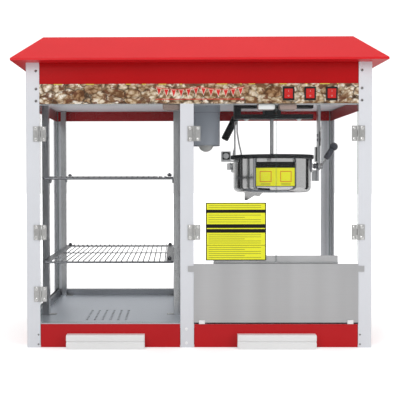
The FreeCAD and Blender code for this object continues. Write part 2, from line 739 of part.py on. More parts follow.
def hinges():
    half, knuckle, gap = dim("leaf_height") / 2, dim("knuckle_height"), dim("knuckle_gap")
    outer = [(-half, knuckle - half), (half - knuckle, half)]
    inner = [(knuckle - half + gap, half - knuckle - gap)]
    heights = [window_top - dim("hinge_drop"), dim("hinge_middle"), dim("hinge_bottom")]
    gap_half = dim("door_gap") / 2
    sets = (
        ("warmer_door", -post_inner + gap_half, 1, heights),
        ("popper_left_door", centre_right + gap_half, 1, heights[:2]),
        ("popper_right_door", post_inner - gap_half, -1, heights[:2]),
    )
    fixed = []
    for name, axis_x, side, places in sets:
        moving = []
        for index, height in enumerate(places):
            fixed.append(leaf(f"{name}_fixed_{index}", axis_x, height, -side, outer, False))
            moving.append(leaf(f"{name}_leaf_{index}", axis_x, height, side, inner, True))
        keep(group(f"{name}_leaves", moving))
    keep(group("hinge_fixed_leaves", fixed))


def doors():
    gap = dim("door_gap")
    split_half = dim("door_split_gap") / 2
    door("warmer_door", -post_inner + gap, centre_left - gap, dim("warmer_door_bottom"))
    door("popper_left_door", centre_right + gap, door_split - split_half, dim("popper_door_bottom"))
    door("popper_right_door", door_split + split_half, post_inner - gap, dim("popper_door_bottom"))


def magnetic_catches():
    gap = dim("door_split_gap")
    wide, tall, deep = dim("catch_width"), dim("catch_height"), dim("catch_depth")
    pieces = []
    for index, low in enumerate((centre_left - seat - wide, door_split - gap - wide, door_split + gap * 4)):
        case = new_body(f"catch_{index}", low, front + dim("door_sheet") + gap, window_top - tall)
        chamfer = tall / 4
        outline = [(0, chamfer), (chamfer, 0), (wide - chamfer, 0), (wide, chamfer),
                   (wide, tall), (0, tall)]
        solid_prism(case, "XZ", outline, 0, deep)
        cut_prism(case, "XZ", rectangle(chamfer * 2, chamfer, wide - chamfer * 2, tall - chamfer), 0, gap)
        pieces.append(case)
    return keep(group("magnetic_catches", pieces))


# ---- shelves ----

def upright_places():
    # Inner corner of each angle with the directions of its two legs.
    left, right = dim("upright_inset") - post_inner, centre_left - dim("upright_side_gap")
    near, far = front + dim("upright_front"), half_depth - dim("upright_rear")
    return [("front_left", left, near, -1, 1), ("front_right", right, near, 1, 1),
            ("rear_left", left, far, -1, -1), ("rear_right", right, far, 1, -1)]


def upright(label, x, y, across, along):
    # An angle with one leg across the view and a perforated leg along the depth.
    post = new_body(label, x, y, floor_top)
    leg, wall = dim("upright_leg"), dim("upright_sheet")
    outline = [(0, 0), (leg, 0), (leg, wall), (wall, wall), (wall, leg), (0, leg)]
    outline = [(u * across, v * along) for u, v in outline]
    height = ceiling - floor_top
    solid_prism(post, "XY", outline, 0, height)
    pitch, half = dim("perforation_pitch"), dim("perforation_width") / 2
    middle = (leg + wall) / 2 * along
    bottom = dim("perforation_margin")
    hole = rectangle(middle - half, bottom, middle + half, bottom + dim("perforation_height"))
    low, high = (0, wall) if across > 0 else (-wall, 0)
    window = cut_prism(post, "YZ", hole, low, high)
    count = int((height.number - 2 * bottom.number) / pitch.number) + 1
    rows = post.newObject("PartDesign::LinearPattern", f"{label}_rows")
    rows.Originals = [window]
    rows.Direction = (window.Profile[0], ["V_Axis"])
    rows.Occurrences = count
    bind(rows, "Length", pitch * (count - 1))
    post.Tip = rows
    return post


def shelf_uprights():
    pieces = [upright(f"upright_{name}", *place_) for name, *place_ in upright_places()]
    return keep(group("shelf_uprights", pieces))


def shelf_edges():
    # Centre lines of the shelf's frame wire, between the angles and from the door to the rear glass.
    places, reach = upright_places(), dim("shelf_frame") / 2 + seat
    return (places[2][1] + reach, places[3][1] - reach, front + dim("shelf_front"),
            half_depth - dim("shelf_rear"))


def shelf_rail(label, x, near, far, base):
    # Flat strip with three holes that closes one end of a shelf.
    wide, sheet_, long_ = dim("rail_width"), dim("rail_sheet"), far - near
    rail = new_body(label, x, near, base)
    solid_prism(rail, "XY", rectangle(0, 0, wide, long_), 0, sheet_)
    for share in (0.25, 0.5, 0.75):
        cut_hole(rail, "XY", wide / 2, long_ * share, dim("rail_hole"), 0, sheet_)
    return rail


def wire_shelf(label, height):
    left, right, near, far = shelf_edges()
    frame_radius, radius = dim("shelf_frame") / 2, dim("shelf_wire") / 2
    corners = [(left, near, height), (right, near, height), (right, far, height), (left, far, height)]
    frame = bent_rod(f"{label}_frame", corners, frame_radius, dim("shelf_corner"), closed=True)
    pitch = dim("shelf_pitch")
    span = right - left
    count = int((span.number - 2 * dim("rail_width").number) / pitch.number) + 1
    first = (left + right) / 2 - pitch * (count - 1) / 2
    lift = height + frame_radius + radius
    pieces = [frame]
    for index in range(count):
        start = (first + pitch * index, near - frame_radius, lift)
        pieces.append(rod(f"{label}_wire_{index}", start, "Y", far - near + 2 * frame_radius, radius))
    middle = (near + far) / 2
    cross = rod(f"{label}_cross", (left, middle, height + frame_radius - radius), "X", span, radius)
    right_x, base = right + frame_radius - dim("rail_width"), height + frame_radius
    left_rail = shelf_rail(f"{label}_rail_left", left - frame_radius, near, far, base)
    right_rail = shelf_rail(f"{label}_rail_right", right_x, near, far, base)
    return pieces + [cross, left_rail, right_rail]


def wire_shelves():
    lower = wire_shelf("shelf_lower", dim("lower_shelf_height"))
    upper = wire_shelf("shelf_upper", dim("upper_shelf_height"))
    return keep(group("wire_shelves", lower + upper))


def shelf_clips():
    wide, deep, tall = dim("clip_width"), dim("clip_depth"), dim("clip_height")
    pieces = []
    for level in ("lower", "upper"):
        top = dim(f"{level}_shelf_height") - dim("shelf_frame") / 2
        for name, x, y, across, along in upright_places():
            # on the perforated leg's inner face, reaching past the leg's end under the shelf's frame
            clip = new_body(f"clip_{level}_{name}", x, y + dim("upright_leg") * along, top - tall)
            outline = [(-deep, 0), (0, 0), (deep, tall * 0.6), (deep, tall), (-deep, tall)]
            outline = [(u * along, v) for u, v in outline]
            low, high = (-wide, 0) if across > 0 else (0, wide)
            solid_prism(clip, "YZ", outline, low, high)
            pieces.append(clip)
    return keep(group("shelf_clips", pieces))


# ---- guard and drawers ----

def front_guard():
    guard = new_body("front_guard")
    low, high, wall = dim("guard_bottom"), dim("guard_top"), dim("guard_sheet")
    ear, ear_low, ear_high = dim("guard_ear_reach"), dim("guard_ear_bottom"), dim("guard_ear_top")
    left, right = centre_right, post_inner
    outline = [(left, low), (right, low), (right, ear_low), (right + ear, ear_low), (right + ear, ear_high),
               (right, ear_high), (right, high), (left, high), (left, ear_high), (left - ear, ear_high),
               (left - ear, ear_low), (left, ear_low)]
    solid_prism(guard, "XZ", outline, front - wall, front)
    inset = dim("guard_strip_inset")
    back = front + dim("guard_step")
    step = rectangle(left + inset, high - wall, right - inset, high)
    solid_prism(guard, "XZ", step, front, back)
    strip = rectangle(left + inset, high - wall, right - inset, dim("guard_strip_top"))
    solid_prism(guard, "XZ", strip, back - wall, back)
    return keep(guard)


def guard_clips():
    wall, slot = dim("guard_clip_wall"), seat
    low, top, guard_low = floor_low, dim("guard_clip_top"), dim("guard_bottom")
    back = -panel_y + seat
    near = front - dim("guard_sheet") - slot
    far = front + slot
    section = [(near - wall, low), (back, low), (back, top), (far, top), (far, guard_low),
               (near, guard_low), (near, top), (near - wall, top)]
    wide, inset = dim("guard_clip_width"), dim("guard_clip_inset")
    pieces = []
    starts = (("left", centre_right + inset), ("right", post_inner - inset - wide))
    for side, start in starts:
        clip = new_body(f"guard_clip_{side}")
        solid_prism(clip, "YZ", section, start, start + wide)
        pieces.append(clip)
    return keep(group("guard_clips", pieces))


def drawer(label, left, right):
    tray = new_body(label)
    wall, gap, inset = dim("drawer_sheet"), dim("drawer_gap"), dim("drawer_inset")
    low = dim("base_clearance") + dim("base_sheet") + dim("slide_gap")
    high = low + dim("drawer_height") - wall
    face_back = front + dim("panel_sheet")
    deep = face_back + dim("drawer_depth")
    left, right = left + gap, right - gap
    solid_prism(tray, "XZ", rectangle(left, gap, right, floor_low - gap), front, face_back)
    solid_prism(tray, "XY", rectangle(left + inset, face_back, right - inset, deep), low, high)
    inner = rectangle(left + inset + wall, face_back, right - inset - wall, deep - wall)
    cut_prism(tray, "XY", inner, low + wall, high)
    return keep(tray)


def drawer_handle(label, middle):
    # Extruded pull with a groove along its face and a finger hollow underneath.
    tall, reach, half = dim("handle_height"), dim("handle_reach"), dim("handle_length") / 2
    pull = new_body(label, middle, front, dim("drawer_gap"))
    wall = dim("drawer_inset") / 2
    section = [(0, 0), (0, tall), (wall - reach, tall), (-reach, tall - wall), (-reach, tall * 0.6),
               (wall - reach, tall * 0.54), (wall - reach, tall * 0.46), (-reach, tall * 0.4), (-reach, 0),
               (wall - reach, 0), (wall - reach, tall * 0.3), (-wall, tall * 0.3), (-wall, 0)]
    solid_prism(pull, "YZ", section, -half, half)
    return keep(pull)


# ---- lamp, warming element, gland ----

def lamp_can():
    can = new_body("lamp_can", lamp_x, 0, 0)
    outer, wall, low, seam = dim("lamp_radius"), dim("lamp_sheet"), lamp_low, ceiling - dim("lamp_collar")
    boss, reach = dim("socket_radius"), dim("socket_length")
    inner, collar, socket_end, roof_low = outer - wall, outer + wall, ceiling - reach, ceiling - wall
    turned(can, [(0, socket_end), (boss, socket_end), (boss, roof_low), (inner, roof_low), (inner, low),
                 (outer, low), (outer, seam), (collar, seam), (collar, ceiling), (0, ceiling)])
    return keep(can)


def lamp_bulb():
    bulb = new_body("lamp_bulb", lamp_x, 0, 0)
    radius, low, neck = dim("bulb_radius"), lamp_low - dim("bulb_drop"), dim("bulb_neck")
    top = ceiling - dim("socket_length")
    arc = [math.radians(angle) for angle in range(-90, 61, 15)]
    points = [(radius * math.cos(a), low + radius * (1 + math.sin(a))) for a in arc]
    points = [(0 if abs(as_size(u).number) < 1e-6 else u, v) for u, v in points]
    turned(bulb, points + [(neck, top - neck * 2), (neck, top), (0, top)])
    return keep(bulb)


def warming_element():
    middle, half, deep = slot_middle, dim("element_half_width"), dim("element_half_depth")
    radius = dim("element_radius")
    height = floor_low - radius
    left, right, back = middle - half, middle + half, deep * 0.8
    points = [(left, deep, height), (left, -deep, height), (middle, -deep, height), (middle, back, height),
              (right, back, height), (right, -deep, height)]
    return keep(bent_rod("warming_element", points, radius, dim("element_bend")))


def cord_gland():
    # A hexagonal gland seen outside the rear fascia, its thread through the sheet and a lock ring inside.
    gland = new_body("cord_gland", gland_x, panel_y, gland_z, Vector(1, 0, 0), -90)
    radius, wall = dim("gland_radius"), dim("panel_sheet")
    turned(gland, [(radius / 2, -wall - radius), (radius * 1.3, -wall - radius), (radius * 1.3, -wall),
                   (radius - seat, -wall), (radius - seat, 0), (radius * 1.2, 0), (radius * 1.2, radius),
                   (radius * 0.8, radius * 1.6), (radius / 2, radius * 1.6)])
    corner = radius * 1.4
    turns = [math.radians(60 * k) for k in range(6)]
    outline = [(corner * math.cos(turn), corner * math.sin(turn)) for turn in turns]

    def ring(sketch):
        draw_outline(sketch, outline)
        draw_circle(sketch, 0, 0, radius / 2)

    extrude(gland, "XY", ring, 0, radius * 0.8)
    return keep(gland)


# ---- stirring head ----

def hanger_frame():
    frame = new_body("hanger_frame", kettle_x, 0, 0)
    left, right, deep = dim("frame_left"), dim("frame_right"), dim("frame_depth") / 2
    low, mid, high, post = frame_low, frame_mid, frame_high, dim("frame_post")
    outline = [(-left, low), (right, low), (right, mid), (post - left, mid), (post - left, high),
               (right, high), (right, ceiling), (-left, ceiling)]
    solid_prism(frame, "XZ", outline, -deep, deep)
    bore = dim("shaft_radius") + dim("shaft_play")
    cut_hole(frame, "XY", 0, 0, bore, low, ceiling)
    pin_x = lever_x - kettle_x
    pin_low = dim("lever_offset") + dim("lever_sheet") / 2 + seat

    def pin(sketch):
        draw_circle(sketch, pin_x, lever_z, dim("lever_pin"))

    def head(sketch):
        draw_circle(sketch, pin_x, lever_z, dim("lever_pin") * 1.8)

    extrude(frame, "XZ", pin, deep, pin_low)
    extrude(frame, "XZ", head, pin_low, pin_low + dim("lever_pin") / 2)
    extrude(frame, "XZ", head, deep, dim("lever_offset") - dim("lever_sheet") / 2 - seat)
    return keep(frame)


def gear_housing():
    half, deep = dim("gear_width") / 2, dim("gear_depth") / 2
    case = new_body("gear_housing", kettle_x, 0, 0)
    low, high = frame_mid, frame_high
    solid_prism(case, "XY", rectangle(-half, -deep, half, deep), low, high)
    cut_hole(case, "XY", 0, 0, dim("shaft_radius") + dim("shaft_play"), low, high)
    return keep(case)


def stir_motor():
    low = ceiling + dim("panel_sheet")
    radius, tall, back = dim("motor_radius"), dim("motor_height"), dim("motor_y")
    motor = new_body("stir_motor", kettle_x, back, low)
    wall, reach, half = dim("post_sheet"), radius + dim("motor_foot"), radius * 0.4
    slim = radius * 0.8
    turned(motor, [(0, 0), (radius, 0), (radius, tall * 0.4), (slim, tall * 0.42), (slim, tall), (0, tall)])
    solid_prism(motor, "XY", rectangle(-reach, -half, reach, half), 0, wall)
    return keep(motor)


def stir_shaft():
    low, high = pivot + dim("shaft_rise"), ceiling + dim("shaft_above")
    shaft = new_body("stir_shaft", kettle_x, 0, low)
    radius = dim("shaft_radius")
    edge = radius / 5
    turned(shaft, [(0, 0), (radius - edge, 0), (radius, edge), (radius, high - low - edge),
                   (radius - edge, high - low), (0, high - low)])
    return keep(shaft)


def lift_collar():
    low = ceiling + dim("panel_sheet") + seat
    collar = new_body("lift_collar", kettle_x, 0, low)
    bore = dim("shaft_radius") + dim("pin_clearance")
    radius, tall = dim("collar_radius"), dim("collar_height")
    edge = tall / 8
    turned(collar, [(bore, 0), (radius - edge, 0), (radius, edge), (radius, tall - edge),
                    (radius - edge, tall), (bore, tall)])
    return keep(collar)


def lift_lever():
    # An eye on the frame's pin carries a short arm and a round grip that leans to the left.
    lever = new_body("lift_lever", lever_x, dim("lever_offset"), lever_z, Vector(0, 1, 0),
                     dim("lever_lean").number)
    grip, arm, long_ = dim("lever_grip_radius"), dim("lever_arm"), dim("lever_grip_length")
    edge, half = grip / 4, dim("lever_sheet") / 2
    bore = dim("lever_pin") + dim("pin_clearance")
    turned(lever, [(0, -arm), (grip - edge, -arm), (grip, -arm - edge), (grip, edge - arm - long_),
                   (grip - edge, -arm - long_), (0, -arm - long_)])

    def eye(sketch):
        draw_circle(sketch, 0, 0, dim("lever_pin") * 2.2)

    extrude(lever, "XZ", eye, -half, half)
    solid_prism(lever, "XZ", rectangle(-dim("lever_pin"), -arm - edge, dim("lever_pin"), 0), -half, half)
    cut_hole(lever, "XZ", 0, 0, bore, -half, half)
    return keep(lever)


def hanger_left():
    # Strap from the ceiling behind the kettle, stepping outwards to the eye that carries the left trunnion.
    sheet_, strip, back = dim("hanger_sheet"), dim("hanger_left_strip"), dim("hanger_left_back")
    eye, left = dim("hanger_eye"), hanger_left_x
    inner = left + dim("bracket_reach") * 7
    strap = new_body("hanger_left", 0, 0, 0)
    solid_prism(strap, "YZ", rectangle(back, pivot - eye, back + strip, ceiling), inner, inner + sheet_)
    solid_prism(strap, "XZ", rectangle(left, pivot - eye, inner + sheet_, pivot + eye), back, back + sheet_)
    solid_prism(strap, "YZ", rectangle(0, pivot - eye, back + sheet_, pivot + eye), left, left + sheet_)

    def round_eye(sketch):
        draw_circle(sketch, 0, pivot, eye)

    extrude(strap, "YZ", round_eye, left, left + sheet_)
    cut_hole(strap, "YZ", 0, pivot, dim("trunnion_radius") + dim("pin_clearance"), left, left + sheet_)
    return keep(strap)


def hanger_right():
    left, thick = hanger_right_x, dim("hanger_right_sheet")
    half, eye = dim("hanger_right_depth") / 2, dim("hanger_right_eye")
    strap = new_body("hanger_right", 0, 0, 0)
    solid_prism(strap, "YZ", rectangle(-half, pivot, half, ceiling), left, left + thick)

    def round_eye(sketch):
        draw_circle(sketch, 0, pivot, eye)

    extrude(strap, "YZ", round_eye, left, left + thick)
    sheet_ = dim("hanger_sheet")
    rib = rectangle(-half * 0.8, pivot + eye, half * 0.8, pivot + eye + half * 4)
    solid_prism(strap, "YZ", rib, left - thick, left)
    plate_left = kettle_x + rim_radius + seat
    plate = rectangle(plate_left, pivot - half * 4, left, pivot - eye)
    solid_prism(strap, "XZ", plate, eye + sheet_, eye + sheet_ * 1.5)
    edge_plate = rectangle(left, pivot - half * 4, left + thick, pivot + eye)
    solid_prism(strap, "XZ", edge_plate, half * 0.8, eye + sheet_ * 1.5)
    cut_hole(strap, "YZ", 0, pivot, dim("trunnion_radius") + dim("pin_clearance"), left, left + thick)
    return keep(strap)


# ---- kettle ----

def kettle_pot():
    pot = new_body("kettle_pot", kettle_x, 0, 0)
    radius, wall, inside = dim("kettle_radius"), dim("kettle_sheet"), kettle_floor
    low, top = kettle_low, kettle_top
    turned(pot, [(0, low), (radius, low), (radius, top), (radius - wall, top), (radius - wall, inside),
                 (0, inside)])

    def bottom_rim(edge):
        box = edge.BoundBox
        return abs(box.ZMax - low.number) < 1e-6 and box.XLength > 1

    round_edges(pot, dim("kettle_edge"), bottom_rim)
    half, tall, reach = dim("bracket_width") / 2, dim("bracket_height") / 2, dim("bracket_reach")
    buried = wall * 0.9
    trunnion = dim("trunnion_radius")
    left_end = hanger_left_x - kettle_x - seat * 3
    right_end = hanger_right_x + dim("hanger_right_sheet") + seat - kettle_x

    def pin(sketch):
        draw_circle(sketch, 0, pivot, trunnion)

    face = rectangle(-half, pivot - tall, half, pivot + tall - trunnion * 2)
    solid_prism(pot, "YZ", face, -radius - reach, buried - radius)
    solid_prism(pot, "YZ", face, radius - buried, radius + reach)
    extrude(pot, "YZ", pin, left_end, -radius - reach)
    extrude(pot, "YZ", pin, radius + reach, right_end)
    hook_out, hook_in, drop = dim("hook_outer"), dim("hook_inner"), dim("hook_drop")
    throat = hook_out - dim("hook_tip") * 5
    hook = [(-hook_out, low), (-hook_out, low - drop), (dim("hook_tip") - hook_out, low - drop),
            (-throat, low - drop * 0.45), (-hook_in * 1.5, low - drop * 0.55), (-hook_in, low)]
    solid_prism(pot, "XZ", hook, -half / 2, half / 2)
    return keep(pot)


def rear_lid():
    # Rim ring with the fixed rear half of the lid and the hub that guides the stirrer's stub.
    lid = new_body("kettle_lid_rear", kettle_x, 0, 0)
    top, wall, rim, skirt = kettle_top, dim("lid_sheet"), rim_radius, dim("rim_skirt")
    inner = dim("kettle_radius") + seat
    opening = inner - seat
    rim_top = top + seat + wall
    edge = wall * 1.5
    turned(lid, [(inner, rim_top - skirt), (rim - edge, rim_top - skirt), (rim, rim_top - skirt + edge),
                 (rim, rim_top - edge), (rim - edge, rim_top), (opening, rim_top), (opening, top + seat),
                 (inner, top + seat)])
    gap, hub = dim("lid_gap"), dim("lid_hub")

    def half_disc(sketch):
        reach = opening.number + wall.number
        start = math.asin(gap.number / reach)
        circle = Part.Circle(Vector(0, 0, 0), Vector(0, 0, 1), reach)
        arc = sketch.addGeometry(Part.ArcOfCircle(circle, start, math.pi - start), False)
        half = reach * math.cos(start)
        ends = Vector(-half, gap.number, 0), Vector(half, gap.number, 0)
        chord = sketch.addGeometry(Part.LineSegment(*ends), False)
        sketch.addConstraint(Sketcher.Constraint("Coincident", arc, 2, chord, 1))
        sketch.addConstraint(Sketcher.Constraint("Coincident", chord, 2, arc, 1))
        sketch.addConstraint(Sketcher.Constraint("Horizontal", chord))
        pin_point(sketch, arc, 3, 0, 0)
        index = sketch.addConstraint(Sketcher.Constraint("Radius", arc, reach))
        bind(sketch, f"Constraints[{index}]", opening + wall)
        index = sketch.addConstraint(Sketcher.Constraint("DistanceY", -1, 1, chord, 1, gap.number))
        bind(sketch, f"Constraints[{index}]", gap)

    extrude(lid, "XY", half_disc, top + seat, rim_top)

    def hub_disc(sketch):
        draw_circle(sketch, 0, 0, hub)

    extrude(lid, "XY", hub_disc, top + seat, rim_top + wall)
    for low, high in lid_knuckles("fixed"):
        barrel(lid, low, high)
    for low, high in lid_knuckles("fixed"):
        tab = rectangle(low, 0, high, gap + wall)
        solid_prism(lid, "XY", tab, top + seat, rim_top)
    for low, high in lid_knuckles("pin"):
        extrude(lid, "YZ", lambda s: draw_circle(s, 0, lid_axis_height(), wall * 0.8), low, high)
    cut_hole(lid, "XY", 0, 0, dim("stub_radius") + seat, top + seat, rim_top + wall)
    return keep(lid)


def lid_axis_height():
    return kettle_top + seat + dim("lid_sheet")


def lid_knuckles(kind):
    # Lengths along the lid's hinge line, on both sides of the hub.
    inner, outer = dim("lid_hinge_inner"), dim("lid_hinge_outer")
    end, gap = dim("lid_knuckle"), dim("knuckle_gap")
    if kind == "fixed":
        spans = [(inner - end, inner), (outer, outer + end)]
    elif kind == "pin":
        spans = [(inner, outer)]
    else:
        spans = [(inner + gap, outer - gap)]
    return spans + [(-high, -low) for low, high in spans]


def barrel(body, low, high):
    radius = dim("lid_sheet") * 1.8
    extrude(body, "YZ", lambda s: draw_circle(s, 0, lid_axis_height(), radius), low, high)


def front_lid():
    # Half-disc flap inside the rim, notched round the hub and hinged on the lid's middle line.
    flap = new_body("kettle_lid_front", kettle_x, 0, 0)
    top, wall = kettle_top + seat, dim("lid_sheet")
    radius = dim("kettle_radius") - 2 * seat
    gap, notch = dim("lid_gap"), dim("lid_hub") + dim("lid_gap")

    def half_ring(sketch):
        outer, inner, edge = radius.number, notch.number, gap.number
        big, small = math.asin(edge / outer), math.asin(edge / inner)
        centre, axis = Vector(0, 0, 0), Vector(0, 0, 1)
        out = sketch.addGeometry(
            Part.ArcOfCircle(Part.Circle(centre, axis, outer), math.pi + big, 2 * math.pi - big), False)
        hole = sketch.addGeometry(
            Part.ArcOfCircle(Part.Circle(centre, axis, inner), math.pi + small, 2 * math.pi - small), False)
        far, near = outer * math.cos(big), inner * math.cos(small)
        right = sketch.addGeometry(Part.LineSegment(Vector(far, -edge, 0), Vector(near, -edge, 0)), False)
        left = sketch.addGeometry(Part.LineSegment(Vector(-near, -edge, 0), Vector(-far, -edge, 0)), False)
        for ends in ((out, 2, right, 1), (right, 2, hole, 2), (hole, 1, left, 1), (left, 2, out, 1)):
            sketch.addConstraint(Sketcher.Constraint("Coincident", *ends))
        for arc, value in ((out, radius), (hole, notch)):
            pin_point(sketch, arc, 3, 0, 0)
            index = sketch.addConstraint(Sketcher.Constraint("Radius", arc, value.number))
            bind(sketch, f"Constraints[{index}]", value)
        for line in (right, left):
            sketch.addConstraint(Sketcher.Constraint("Horizontal", line))
            index = sketch.addConstraint(Sketcher.Constraint("DistanceY", -1, 1, line, 1, -edge))
            bind(sketch, f"Constraints[{index}]", -gap)

    extrude(flap, "XY", half_ring, top, top + wall)
    for low, high in lid_knuckles("moving"):
        barrel(flap, low, high)
        solid_prism(flap, "XY", rectangle(low, -gap - wall, high, 0), top, top + wall)
    for low, high in lid_knuckles("moving"):
        bore = wall * 0.8 + dim("pin_clearance")
        pocket(flap, "YZ", lambda s: draw_circle(s, 0, lid_axis_height(), bore), low, high)
    return keep(flap)


def lid_bail():
    # Bent wire loop by which the lid is lifted off, standing on the rim's left end.
    top = lid_axis_height()
    left = kettle_x - rim_radius
    wire = dim("bail_wire")
    y = dim("lid_hub") - dim("lid_gap")
    foot, tall = wire * 3, frame_low - dim("bail_top_gap") - wire - top
    near, far = left + dim("bail_inset"), left + dim("bail_inset") + dim("bail_width")
    post = near + dim("bail_lean")
    back = post + wire * 3
    points = [(near, y, top), (near, y, top + foot), (post, y, top + tall * 0.25), (post, y, top + tall),
              (back, y, top + tall), (back, y, top + tall * 0.7), (far - foot, y, top + tall * 0.35),
              (far, y, top + foot), (far, y, top)]
    return keep(bent_rod("lid_bail", points, wire, wire * 1.3))


def kettle_terminal():
    # Shelf bracket on the kettle's left side with the square box of its plug connection.
    base = pivot + dim("hanger_eye") + dim("bracket_reach")
    half = dim("bracket_width") / 2 - dim("post_sheet")
    left = kettle_x - dim("kettle_radius") - dim("bracket_reach") - half * 2.3
    right = kettle_x - dim("kettle_radius") - seat
    thick = dim("hanger_sheet")
    body = new_body("kettle_terminal", 0, 0, base)
    solid_prism(body, "XY", rectangle(left, -half, right, half), 0, thick)
    side = half * 1.85
    case = rectangle(left, thick, left + side, thick + side)
    solid_prism(body, "XZ", case, -half, half)
    middle = (left + side / 2, thick + side / 2)
    wall = dim("post_sheet")
    inner = rectangle(left + wall, thick + wall, left + side - wall, thick + side - wall)
    cut_prism(body, "XZ", inner, -half, 0)

    def plug(sketch):
        draw_circle(sketch, middle[0], middle[1], side * 0.3)

    extrude(body, "XZ", plug, wall - half, 0)
    return keep(body)


def stirrer():
    # Stub shaft on the kettle's floor with two sweeping arms.
    low = kettle_floor + seat
    reach, wide = dim("kettle_radius") - dim("blade_gap"), dim("blade_width")
    thick, stub = dim("blade_sheet"), dim("stub_radius")
    tool = new_body("stirrer", kettle_x, 0, low)
    top = pivot + dim("stub_rise") - low
    turned(tool, [(0, 0), (stub * 2, 0), (stub * 2, thick * 2), (stub, thick * 3), (stub, top), (0, top)])
    vane = [(0, -wide / 2), (reach, wide * 0.2), (reach, wide / 2), (0, wide / 2)]
    solid_prism(tool, "XY", vane, 0, thick)
    solid_prism(tool, "XY", [(-u, -v) for u, v in vane], 0, thick)
    return keep(tool)


def kettle_handle():
    # Hub on the right trunnion and a short rod that leans outwards to the grip.
    start = hanger_right_x + dim("hanger_right_sheet") + seat
    hub, thick = dim("handle_hub"), dim("handle_hub") * 0.9
    rod_body = new_body("kettle_handle_rod", start, 0, pivot)

    def disc(sketch):
        draw_circle(sketch, 0, 0, hub)

    extrude(rod_body, "YZ", disc, 0, thick)
    lean = math.radians(dim("handle_lean").number)
    radius = dim("handle_rod")
    run = hub + dim("handle_rod_length")
    middle = thick / 2
    tilt = math.tan(lean)
    half = radius / math.cos(lean)
    outline = [(middle - half, 0), (middle + half, 0), (middle + half + run * tilt, run),
               (middle - half + run * tilt, run)]
    solid_prism(rod_body, "XZ", outline, -radius, radius)
    keep(rod_body)
    grip = new_body("kettle_grip", start + middle + run * tilt, 0, pivot + run, Vector(0, 1, 0),
                    dim("handle_lean").number)
    long_, ball = dim("handle_grip_length"), dim("handle_ball")
    slim = ball * 0.7
    low = radius * tilt + seat / 3
    arc = [math.radians(angle) for angle in range(-55, 91, 29)]
    crown = [(ball * math.cos(a), long_ + ball * math.sin(a)) for a in arc[:-1]]
    stem = [(0, low), (slim * 0.8, low), (slim, low + radius), (slim, long_ - ball)]
    turned(grip, stem + crown + [(0, long_ + ball)])
    return keep(grip)


# ---- switches ----

def switch_bezels():
    wall, play, swing = dim("switch_wall"), dim("rocker_play"), dim("rocker_swing")
    half_x, half_z = dim("rocker_width") / 2 + play, dim("rocker_height") / 2 + swing
    pieces = []
    for index, x in enumerate(switch_centres()):
        case = new_body(f"bezel_{index}", x, front, switch_z)
        wide, tall = dim("bezel_width") / 2, dim("bezel_height") / 2
        solid_prism(case, "XZ", rectangle(-wide, -tall, wide, tall), -dim("bezel_sheet"), 0)
        body_x, body_z = half_x + wall, half_z + wall
        solid_prism(case, "XZ", rectangle(-body_x, -body_z, body_x, body_z), 0, dim("switch_depth"))
        opening = rectangle(-half_x, -half_z, half_x, half_z)
        cut_prism(case, "XZ", opening, -dim("bezel_sheet"), dim("switch_depth") - wall)
        bore = dim("rocker_pin") + dim("pin_clearance")
        cut_hole(case, "YZ", rocker_axis(), 0, bore, -body_x, body_x)
        pieces.append(case)
    return keep(group("switch_bezels", pieces))


def rocker_axis():
    return dim("rocker_pin") + dim("switch_wall")


def rockers():
    # Each rocker is a shallow V on a pin that runs across the switch behind the fascia's face.
    half = dim("rocker_width") / 2
    tall = dim("rocker_height") / 2
    proud = dim("bezel_sheet")
    for index, x in enumerate(switch_centres(), 1):
        rocker = new_body(f"switch_rocker_{index}", x, front, switch_z)
        inside = tall * 0.96
        section = [(-proud * 2, tall), (-proud, 0), (-proud * 1.4, -tall), (proud, -inside),
                   (proud * 3, 0), (proud, inside)]
        solid_prism(rocker, "YZ", section, -half, half)
        reach = half + dim("rocker_play") + dim("switch_wall") * 0.8

        def pin(sketch):
            draw_circle(sketch, rocker_axis(), 0, dim("rocker_pin"))

        extrude(rocker, "YZ", pin, -reach, reach)
        keep(rocker)


def build():
    corner_post("post_front_left", -1, -1, 0)
    corner_post("post_front_right", 1, -1, 90)
    corner_post("post_rear_right", 1, 1, 180)
    corner_post("post_rear_left", -1, 1, 270)
    front_centre_post()
    rear_centre_post()
    roof()
    front_fascia()
    rear_fascia()
    side_fascias()
    print_panel()
    ceiling_plate()
    base_frame()
    warmer_floor()
    popper_floor()
    glass_sills()
    panes()
    doors()
    hinges()
    magnetic_catches()
    shelf_uprights()
    wire_shelves()
    shelf_clips()
    front_guard()
    guard_clips()
    drawer("warmer_drawer", -post_inner, centre_left)
    drawer("popper_drawer", centre_right, post_inner)
    drawer_handle("warmer_drawer_handle", warmer_middle + dim("warmer_handle_shift"))
    drawer_handle("popper_drawer_handle", popper_middle + dim("popper_handle_shift"))
    lamp_can()
    lamp_bulb()
    warming_element()
    cord_gland()
    hanger_frame()
    gear_housing()
    stir_motor()
    stir_shaft()
    lift_collar()
    lift_lever()
    hanger_left()
    hanger_right()
    kettle_pot()
    rear_lid()
    front_lid()
    lid_bail()
    kettle_terminal()
    stirrer()
    kettle_handle()
    switch_bezels()
    rockers()


def check_and_export():
    doc.recompute()
    for item in doc.Objects:
        if "Invalid" in item.State or "Error" in item.State:
            raise RuntimeError(f"{item.Label} did not compute: {item.State}")
    for before, after in CUTS:
        if after.Shape.Volume > before.Shape.Volume - 1e-3:
            raise RuntimeError(f"{after.Label} removes nothing")
    os.makedirs("parts", exist_ok=True)
    for item in SUBPARTS:
        if item.Shape.isNull() or not item.Shape.isValid():
            raise RuntimeError(f"{item.Label} has no valid shape")
        item.Shape.exportStep(f"parts/{item.Label}.step")
    print(f"{len(SUBPARTS)} sub-parts written")


build()
check_and_export()
